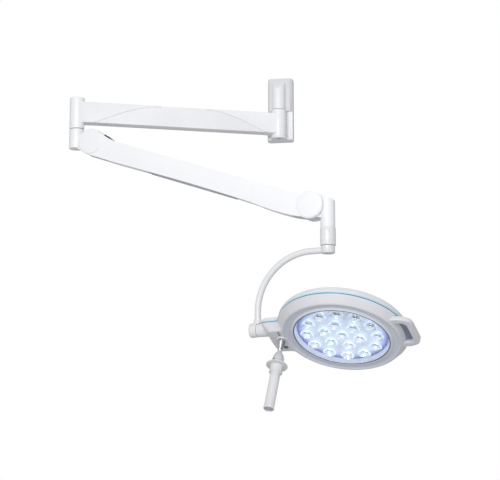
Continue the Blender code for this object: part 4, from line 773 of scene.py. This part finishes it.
outerSeam = head["rim"] + head["flare"]
coverLow = trimHigh + fits["gap"]
innerPole, outerPole = 0.0738, 0.0780  # the cover's heights at its middle
coverLevels = [("in", 0.0008, innerPole, 0), ("in", 0.080, 0.0733, 0), ("in", 0.160, 0.0690, 0),
               ("in", outerSeam - 0.0220, 0.0632, 0), ("in", outerSeam - 0.0130, 0.0590, 0),
               ("in", outerSeam - 0.0075, 0.0525, 0), ("out", 0.0046, 0.0490, 0), ("out", 0.0046, 0.0468, 1),
               ("out", 0.0046, 0.0430, 1), ("out", 0.0042, coverLow, 1), ("out", 0.0014, coverLow, 1),
               ("out", 0.0006, coverLow + 0.0004, 1), ("out", 0.0004, coverLow + 0.0014, 1),
               ("out", 0.0006, 0.0430, 1), ("out", 0.0012, 0.0462, 1), ("out", 0.0022, 0.0482, 1),
               ("out", 0.0040, 0.0496, 1), ("out", 0.0046, 0.0506, 0.55), ("out", 0.0044, 0.0520, 0.12),
               ("out", 0.0046, 0.0538, 0), ("out", 0.0066, 0.0573, 0), ("out", 0.0098, 0.0606, 0),
               ("out", 0.0140, 0.0635, 0), ("out", 0.0210, 0.0664, 0), ("in", 0.190, 0.0694, 0),
               ("in", 0.160, 0.0723, 0), ("in", 0.125, 0.0748, 0), ("in", 0.085, 0.0767, 0),
               ("in", 0.045, 0.0777, 0), ("in", 0.0008, outerPole, 0)]
lid = stackPiece("headCover", coverLevels, False)
for pole in (innerPole, outerPole):  # the smallest circles are drawn together
    pickOnly(lid)
    bpy.ops.object.mode_set(mode="EDIT")
    bpy.ops.mesh.select_mode(type="VERT")
    bpy.ops.mesh.select_all(action="DESELECT")
    bpy.ops.object.mode_set(mode="OBJECT")
    for vert in lid.data.vertices:
        vert.select = abs(vert.co.z - pole) < 0.00005 and vert.co.xy.length < 0.002
    bpy.ops.object.mode_set(mode="EDIT")
    bpy.ops.mesh.select_mode(type="VERT")
    bpy.ops.mesh.merge(type="CENTER")
    endEdit()
carve(lid, bossTool(yoke["stub"] + 0.0035, -0.2775, -0.2080), "UNION")
bossHole(lid)
carve(lid, boxPiece("trimOff", (-0.4, -0.4, 0.0), (0.4, 0.4, coverLow)))
finishPiece(lid, atDisc, "lamp_head", headCoverPaint, "plastic_light_grey", "head_cover", angle=30)

stub, shaft = yoke["stub"], yoke["shaft"]
bossProfile = [(0, -0.026), (shaft, -0.026), (shaft, 0.0007), (stub - 0.0014, 0.0007),
               (stub - 0.0004, 0.0011), (stub, 0.0020), (stub, 0.0310), (stub - 0.0006, 0.0316),
               (stub - 0.0006, 0.0324), (stub, 0.0330), (stub, 0.0764), (0, 0.0764)]
boss = turnTo(turnPiece("tiltBoss", bossProfile, 96), y=90)
finishPiece(boss, atTilt, "lamp_head", yokePaint, "painted_light_grey", "tilt_boss")
print("lamp head body modelled")

# light exit: bezel, frame, gasket and clear cover
lens = {"bezelIn": 0.1785, "radius": 0.1655, "arrayRadius": 0.1560, "coverLow": 0.0008, "coverHigh": 0.0048,
        "arrayLow": 0.0225, "arrayHigh": 0.0245}
bezelIn, bezelOut = lens["bezelIn"], innerRim - fits["gap"]
lensEdge, arrayEdge = lens["radius"], lens["arrayRadius"]
bezelFloor = smoothLine([(0.2012, 0.0009), (0.1996, 0.0028), (0.1966, 0.0054), (0.1925, 0.0069),
                         (0.1865, 0.0073), (bezelIn, 0.0072)], 5)
bezel = turnPiece("bezelRing", [(bezelOut, 0.0006), (bezelOut, 0.0105), (bezelIn, 0.0105)] + bezelFloor[::-1],
                  192, True)
finishPiece(bezel, atDisc, "lamp_head", slatePlastic, "plastic_slate", "bezel_ring", angle=40)

frameOut = bezelIn - fits["gap"]
frameCrown = smoothLine([(lensEdge + 0.0034, 0.0003), (lensEdge + 0.0045, -0.0003),
                         (lensEdge + 0.0065, 0.0004), (lensEdge + 0.0095, 0.0032), (frameOut, 0.0062)], 4)
frameBack = [(frameOut, 0.0120), (lensEdge + 0.0016, 0.0120), (lensEdge + 0.0016, 0.0101),
             (lensEdge + 0.0034, 0.0101)]
lensFrame = turnPiece("lensFrame", frameCrown + frameBack, 192, True)
finishPiece(lensFrame, atDisc, "lamp_head", framePlastic, "plastic_light_grey", "lens_frame", angle=40)

gasketProfile = [(0.0002, 0.0010), (0.0010, 0.0004), (0.0026, 0.0004), (0.0032, 0.0012), (0.0032, 0.0032),
                 (0.0002, 0.0032)]
gasket = turnPiece("lensGasket", shifted(gasketProfile, lensEdge, 0), 192, True)
finishPiece(gasket, atDisc, "lamp_head", gasketRubber, "bush_plastic")
skirt = turnPiece("exitSkirt", [(lensEdge + 0.0014, 0.0034), (lensEdge + 0.0002, 0.0050),
                                (arrayEdge + 0.0004, 0.0205), (arrayEdge + 0.0004, 0.0222),
                                (arrayEdge + 0.0016, 0.0222), (lensEdge + 0.0014, 0.0060)], 192, True)
finishPiece(skirt, atDisc, "lamp_head", skirtPlasticPaintedGlow, "plastic_white")

clearMat, nodes, links, shader = newMaterial("clearCover", (0.97, 0.985, 1.0), 0.03, IOR=1.30,
                                             Transmission_Weight=1.0)
haze = objectNoise(nodes, links, 22.0, 3.0)
varyRoughness(nodes, links, shader, haze.outputs["Fac"], 0.015, 0.06)
clearCover = rodPiece("clearCover", lensEdge, lens["coverLow"], lens["coverHigh"], 0.0008, 192)
finishPiece(clearCover, atDisc, "lamp_head", clearMat, "lens_clear", "lens_cover")

# LED optics: a carrier plate, nineteen faceted cups, each with its emitter and a clear dome
optics = {"inner": 0.0620, "innerCount": 6, "innerStart": -155, "outer": 0.1225, "outerCount": 12,
          "outerStart": -171, "throat": 0.0085, "front": 0.0095, "back": 0.0232, "facets": 22, "turn": 0.37}


# places spread evenly round a circle, from a first angle
def ringPlaces(radius, count, start):
    return arcPoints(0, 0, radius, start, start + 360 - 360 / count, count - 1)


opticPlaces = ([(0.0, 0.0)] + ringPlaces(optics["inner"], optics["innerCount"], optics["innerStart"])
               + ringPlaces(optics["outer"], optics["outerCount"], optics["outerStart"]))
# carrier plate: pale blue-white in the middle, turning dark blue towards the rim
carrierMat, nodes, links, shader = newMaterial("carrierPlate", (0.6, 0.66, 0.8), 0.3)
where = nodes.new("ShaderNodeTexCoord")
centreIt = nodes.new("ShaderNodeVectorMath")
centreIt.operation = "DISTANCE"
centreIt.inputs[1].default_value = atDisc @ Vector((0, 0, 0.0235))
links.new(where.outputs["Object"], centreIt.inputs[0])
tone = twoTone(nodes, links, centreIt.outputs["Value"], (0.74, 0.80, 0.90), (0.14, 0.17, 0.50), 0.128, 0.155)
tone.color_ramp.elements.new(0.142).color = (0.48, 0.54, 0.84, 1.0)
links.new(tone.outputs["Color"], shader.inputs["Base Color"])
# painted light: the plate glows in these same colours, though it is no lamp
links.new(tone.outputs["Color"], shader.inputs["Emission Color"])
shader.inputs["Emission Strength"].default_value = 0.36
grain = objectNoise(nodes, links, 420.0)
addBump(nodes, links, shader, grain.outputs["Fac"], 0.15, 0.0004)
carrier = rodPiece("opticCarrier", arrayEdge, lens["arrayLow"], lens["arrayHigh"], 0.0005, 128)
finishPiece(carrier, atDisc, "lamp_head", carrierMat, "lens_clear", "lens_array")

emitterMat, nodes, links, shader = newMaterial("emitter", (0.95, 0.97, 1.0), 0.25)
addGlow(emitterMat, (0.86, 0.93, 1.0), 12.0)
fleck = objectNoise(nodes, links, 900.0)
addBump(nodes, links, shader, fleck.outputs["Fac"], 0.2, 0.0002)
domeMat, nodes, links, shader = newMaterial("opticDome", (0.96, 0.98, 1.0), 0.04, IOR=1.40,
                                            Transmission_Weight=1.0)
waver = objectNoise(nodes, links, 160.0)
addBump(nodes, links, shader, waver.outputs["Fac"], 0.12, 0.0004)

front, back = optics["front"], optics["back"]
cupProfile = [(optics["throat"], back - 0.0008), (0.0125, back - 0.0040), (0.0168, back - 0.0078),
              (0.0204, front + 0.0030), (0.0222, front + 0.0004), (0.0227, front - 0.0002), (0.0233, front),
              (0.0236, front + 0.0010), (0.0212, front + 0.0044), (0.0176, back - 0.0066),
              (0.0134, back - 0.0030), (0.0098, back - 0.0003), (optics["throat"], back - 0.0003)]
chipProfile = [(0, back - 0.0042), (0.0026, back - 0.0038), (0.0046, back - 0.0026), (0.0054, back - 0.0006),
               (0, back - 0.0006)]
lensDomeProfile = [(0, front + 0.0002), (0.0050, front + 0.0006), (0.0100, front + 0.0022),
                   (0.0128, front + 0.0044), (0.0134, front + 0.0058), (0, front + 0.0058)]
for number, (ox, oy) in enumerate(opticPlaces):
    spot = atDisc @ Matrix.Translation((ox, oy, 0)) @ Matrix.Rotation(number * optics["turn"], 4, "Z")
    cup = turnPiece(f"opticCup{number:02d}", cupProfile, optics["facets"], True)
    finishPiece(cup, spot, "lamp_head", reflectorPaintedGlow, "lens_clear", angle=4)
    chip = turnPiece(f"emitter{number:02d}", chipProfile, 24)
    finishPiece(chip, spot, "lamp_head", emitterMat, "lens_clear")
    lensDome = turnPiece(f"opticDome{number:02d}", lensDomeProfile, 32)
    finishPiece(lensDome, spot, "lamp_head", domeMat, "lens_clear")
print("optics modelled")

# side grip
grip = {"out": 0.2665, "half": 0.0820, "width": 0.0220, "bend": 0.036, "innerBend": 0.022, "low": 0.0050,
        "high": 0.0220, "web": 0.0034, "edge": 0.0026, "shadeSheetThick": 0.0014, "shadeSheetGap": 0.0006}
go, gh, bend, innerBend = grip["out"], grip["half"], grip["bend"], grip["innerBend"]
gripOutline = ([(0.150, -gh), (go - 0.0425, -gh)] + arcPoints(go - bend, -gh + 0.040, bend, -74, 0, 16)
               + arcPoints(go - bend, gh - 0.040, bend, 0, 74, 16) + [(go - 0.0425, gh), (0.150, gh)])


# what the shell fills, grown by a gap
def discTool(gap, low=-0.004, high=0.034):
    slope = head["flare"] / head["seam"]
    lowRadius, highRadius = head["rim"] + low * slope + gap, head["rim"] + high * slope + gap
    return turnPiece("disc", [(0, low), (lowRadius, low), (highRadius, high), (0, high)], 192)


sideGrip = slabPiece("sideGrip", gripOutline, grip["low"], grip["high"], "xy")
inX = go - grip["width"]
webLow = grip["high"] - grip["web"]
fingerOutline = ([(0.10, -gh + 0.024)] + arcPoints(inX - innerBend, -gh + 0.046, innerBend, -90, 0, 14)
                 + arcPoints(inX - innerBend, gh - 0.046, innerBend, 0, 90, 14) + [(0.10, gh - 0.024)])
carve(sideGrip, slabPiece("finger", fingerOutline, -0.02, webLow, "xy"))
roundEdges(sideGrip, grip["edge"], 4, 50.0)
carve(sideGrip, discTool(fits["gap"]))
finishPiece(sideGrip, atDisc, "lamp_head", headPaint, "plastic_light_grey", "side_grip")
# a dark slate sheet under the grip's web: painted shade where the web and the shell's wall lie in shadow
shadeSheetOutline = [(x - 0.0008, y * 0.985) for x, y in fingerOutline]
shadeSheet = slabPiece("gripShadeSheet", shadeSheetOutline, webLow - grip["shadeSheetThick"], webLow, "xy")
carve(shadeSheet, discTool(grip["shadeSheetGap"]))
finishPiece(shadeSheet, atDisc, "lamp_head", shadeSheetPaint, "plastic_slate")

# controls on the arm-side block
def keyPiece(name, at, radius, proud, flange, part):
    profile = [(0, -proud + 0.0004), (radius * 0.55, -proud + 0.0003), (radius * 0.78, -proud),
               (radius - 0.0006, -proud + 0.0002), (radius, -proud + 0.0008), (radius, 0.0060),
               (radius + flange, 0.0060), (radius + flange, 0.0080), (0, 0.0080)]
    key = turnPiece(name, profile, 64)
    return finishPiece(key, atDisc @ Matrix.Translation((*at, 0)), part, keyPlastic, "button_dark", part)


keyPiece("powerKey", controls["power"], controls["powerRadius"], 0.0012, 0.0020, "power_button")
keyPiece("brighterKey", controls["up"], controls["keyRadius"], 0.0010, 0.0014, "dim_up")
keyPiece("dimmerKey", controls["down"], controls["keyRadius"], 0.0010, 0.0014, "dim_down")
print("side grip and keys modelled")

# handle, hanging below the arm-side block
ringProfile = [(0.0151, -0.0003), (0.0172, -0.0003), (0.0178, -0.0010), (0.0178, -0.0030), (0.0170, -0.0040),
               (0.0151, -0.0040)]
adapterRing = turnPiece("adapterRing", ringProfile, 96, True)
finishPiece(adapterRing, atHandle, "lamp_head", whiteCover, "plastic_white", "handle_adapter")
adapterProfile = [(0, 0.0120), (0.0060, 0.0120), (0.0060, -0.0003), (0.0150, -0.0003), (0.0150, -0.0060),
                  (0.0148, -0.0130), (0.0140, -0.0170), (0.0118, -0.0262), (0.0098, -0.0360),
                  (0.0086, -0.0420), (0.0080, -0.0452), (0.0074, -0.0470), (0.0035, -0.0470),
                  (0.0035, -0.0560), (0, -0.0560)]
adapter = turnPiece("handleAdapter", adapterProfile, 96)
finishPiece(adapter, atHandle, "lamp_head", chrome, "chrome", "handle_adapter")

domeProfile = [(0.0038, -0.0473), (0.0080, -0.0473), (0.0084, -0.0480), (0.0084, -0.0536), (0.0104, -0.0562),
               (0.0138, -0.0612), (0.0166, -0.0670), (0.0188, -0.0738), (0.0200, -0.0800), (0.0205, -0.0860),
               (0.0205, -0.0978), (0.0200, -0.0985), (0.0060, -0.0985), (0.0060, -0.0600), (0.0038, -0.0600)]
dome = turnPiece("handleDome", domeProfile, 96, True)
catch = {"turn": -112.0, "z": -0.0905, "radius": 0.0034}
catchHole = rodPiece("hole", catch["radius"] + fits["gap"], 0.0120, 0.0300, steps=40)
carve(dome, turnTo(catchHole, y=90, z=catch["turn"], move=(0, 0, catch["z"])))
finishPiece(dome, atHandle, "sterile_handle", domePlastic, "plastic_light_grey", "handle_dome")
flangeProfile = [(0.0060, -0.0988), (0.0225, -0.0988), (0.0262, -0.0994), (0.0310, -0.1012),
                 (0.0348, -0.1036), (0.0370, -0.1058), (0.0378, -0.1074), (0.0376, -0.1092),
                 (0.0366, -0.1099), (0.0330, -0.1092), (0.0270, -0.1096), (0.0235, -0.1105),
                 (0.0060, -0.1105)]
flange = turnPiece("handleFlange", flangeProfile, 128, True)
finishPiece(flange, atHandle, "sterile_handle", gripPlastic, "plastic_light_grey", "handle_flange")
collarProfile = [(0.0060, -0.1108), (0.0232, -0.1108), (0.0228, -0.1150), (0.0214, -0.1210),
                 (0.0206, -0.1270), (0.0206, -0.1312), (0.0226, -0.1324), (0.0233, -0.1336),
                 (0.0233, -0.1366), (0.0226, -0.1378), (0.0192, -0.1384), (0.0180, -0.1396),
                 (0.0176, -0.1440), (0.0060, -0.1440)]
collar = turnPiece("handleCollar", collarProfile, 96, True)
finishPiece(collar, atHandle, "sterile_handle", gripPlastic, "plastic_slate", "handle_collar")
gripProfile = [(0.0060, -0.1443), (0.0170, -0.1443), (0.0174, -0.1450), (0.0175, -0.1600), (0.0176, -0.1900),
               (0.0176, -0.2300), (0.0175, -0.2600), (0.0176, -0.2716), (0.0184, -0.2730), (0.0187, -0.2744),
               (0.0187, -0.2786), (0.0181, -0.2804), (0.0170, -0.2810), (0.0154, -0.2808), (0.0148, -0.2800),
               (0.0148, -0.2500), (0.0060, -0.2500)]
handGrip = turnPiece("handleGrip", gripProfile, 96, True)
finishPiece(handGrip, atHandle, "sterile_handle", gripPlastic, "plastic_light_grey", "handle_grip")
plugProfile = [(0, -0.2798), (0.0040, -0.2796), (0.0048, -0.2776), (0.0120, -0.2772), (0.0136, -0.2790),
               (0.0145, -0.2780), (0.0145, -0.2700), (0, -0.2700)]
endPlug = turnPiece("gripEndPlug", plugProfile, 64)
finishPiece(endPlug, atHandle, "sterile_handle", castAlloy, "aluminium")
catchProfile = [(0, 0.0140), (catch["radius"], 0.0140), (catch["radius"], 0.0205), (0.0030, 0.0211),
                (0.0022, 0.0213), (0.0008, 0.0210), (0, 0.0210)]
catchKey = turnPiece("catchKey", catchProfile, 40)
turnTo(catchKey, y=90, z=catch["turn"], move=(0, 0, catch["z"]))
finishPiece(catchKey, atHandle, "release_button", keyPlastic, "button_dark", "release_button")
print("handle modelled")

# nodes that keep their own shape
keptNodes = [(steel, ["wall_screw_1", "wall_screw_2", "wall_screw_3", "wall_screw_4", "wall_shaft",
                      "elbow_shaft", "elbow_brake_screw", "lift_pin", "lamp_pin", "lamp_brake_screw",
                      "tilt_brake_screw", "spring_anchor", "spring_guide", "coil_spring", "parallel_rod",
                      "handle_core"]),
             (castAlloy, ["extension_tube", "heat_sink"]),
             (bushPlastic, ["wall_bush", "elbow_bush", "lamp_bush"]),
             (boardLacquer, ["led_board"])]
for finish, names in keptNodes:
    for name in names:
        node = frame["nodes"][name]
        node.data.materials.clear()
        node.data.materials.append(finish)
print("kept nodes finished")

# floor, light and camera
studio = {"floorZ": -2.20, "floorSize": 40.0, "lens": 127.07, "sensor": 36.0, "azimuth": 10.0,
          "upward": 10.7349, "place": (1.0342, -6.5701, -1.7665), "ambient": 0.52, "backdrop": 1.0,
          "lampSize": 2.4, "keyPlace": (-0.2, -5.0, 0.4), "keyAim": (-0.1, -0.4, -0.4), "keyPower": 112,
          "fillPlace": (2.6, -3.0, -1.8), "fillAim": (0.1, -0.4, -0.8), "fillPower": 10,
          "fillColour": (0.90, 0.94, 1.0)}
pickNone()
bpy.ops.mesh.primitive_plane_add(size=studio["floorSize"], location=(0, 0, studio["floorZ"]))
floor = bpy.context.object
floor.name = "floor"
floor.data.materials.append(coatedSurface("floorPaint", (0.72, 0.725, 0.735), 0.6, 60.0, 0.05, 0.01))

world = bpy.data.worlds.new("studio")
bpy.context.scene.world = world
world.use_nodes = True
background = world.node_tree.nodes["Background"]
background.inputs["Color"].default_value = (1.0, 1.0, 1.0, 1.0)
seen = world.node_tree.nodes.new("ShaderNodeLightPath")
level = world.node_tree.nodes.new("ShaderNodeMapRange")
level.inputs["To Min"].default_value = studio["ambient"]
level.inputs["To Max"].default_value = studio["backdrop"]
world.node_tree.links.new(seen.outputs["Is Camera Ray"], level.inputs["Value"])
world.node_tree.links.new(level.outputs["Result"], background.inputs["Strength"])


def areaLight(name, place, aim, power, colour=(1, 1, 1)):
    data = bpy.data.lights.new(name, "AREA")
    data.shape = "DISK"
    data.size = studio["lampSize"]
    data.energy = power
    data.color = colour
    lamp = bpy.data.objects.new(name, data)
    bpy.context.scene.collection.objects.link(lamp)
    lamp.location = place
    lamp.rotation_euler = (Vector(aim) - Vector(place)).to_track_quat("-Z", "Y").to_euler()
    return lamp


areaLight("keyLight", studio["keyPlace"], studio["keyAim"], studio["keyPower"])
areaLight("fillLight", studio["fillPlace"], studio["fillAim"], studio["fillPower"], studio["fillColour"])

camData = bpy.data.cameras.new("camera")
camera = bpy.data.objects.new("camera", camData)
bpy.context.scene.collection.objects.link(camera)
camData.sensor_width = studio["sensor"]
camData.sensor_fit = "HORIZONTAL"
camData.lens = studio["lens"]
camera.location = studio["place"]
camera.rotation_euler = (math.radians(90 + studio["upward"]), 0, math.radians(studio["azimuth"]))
bpy.context.scene.camera = camera
bpy.context.scene.view_settings.view_transform = "Standard"
print("floor, light and camera set")
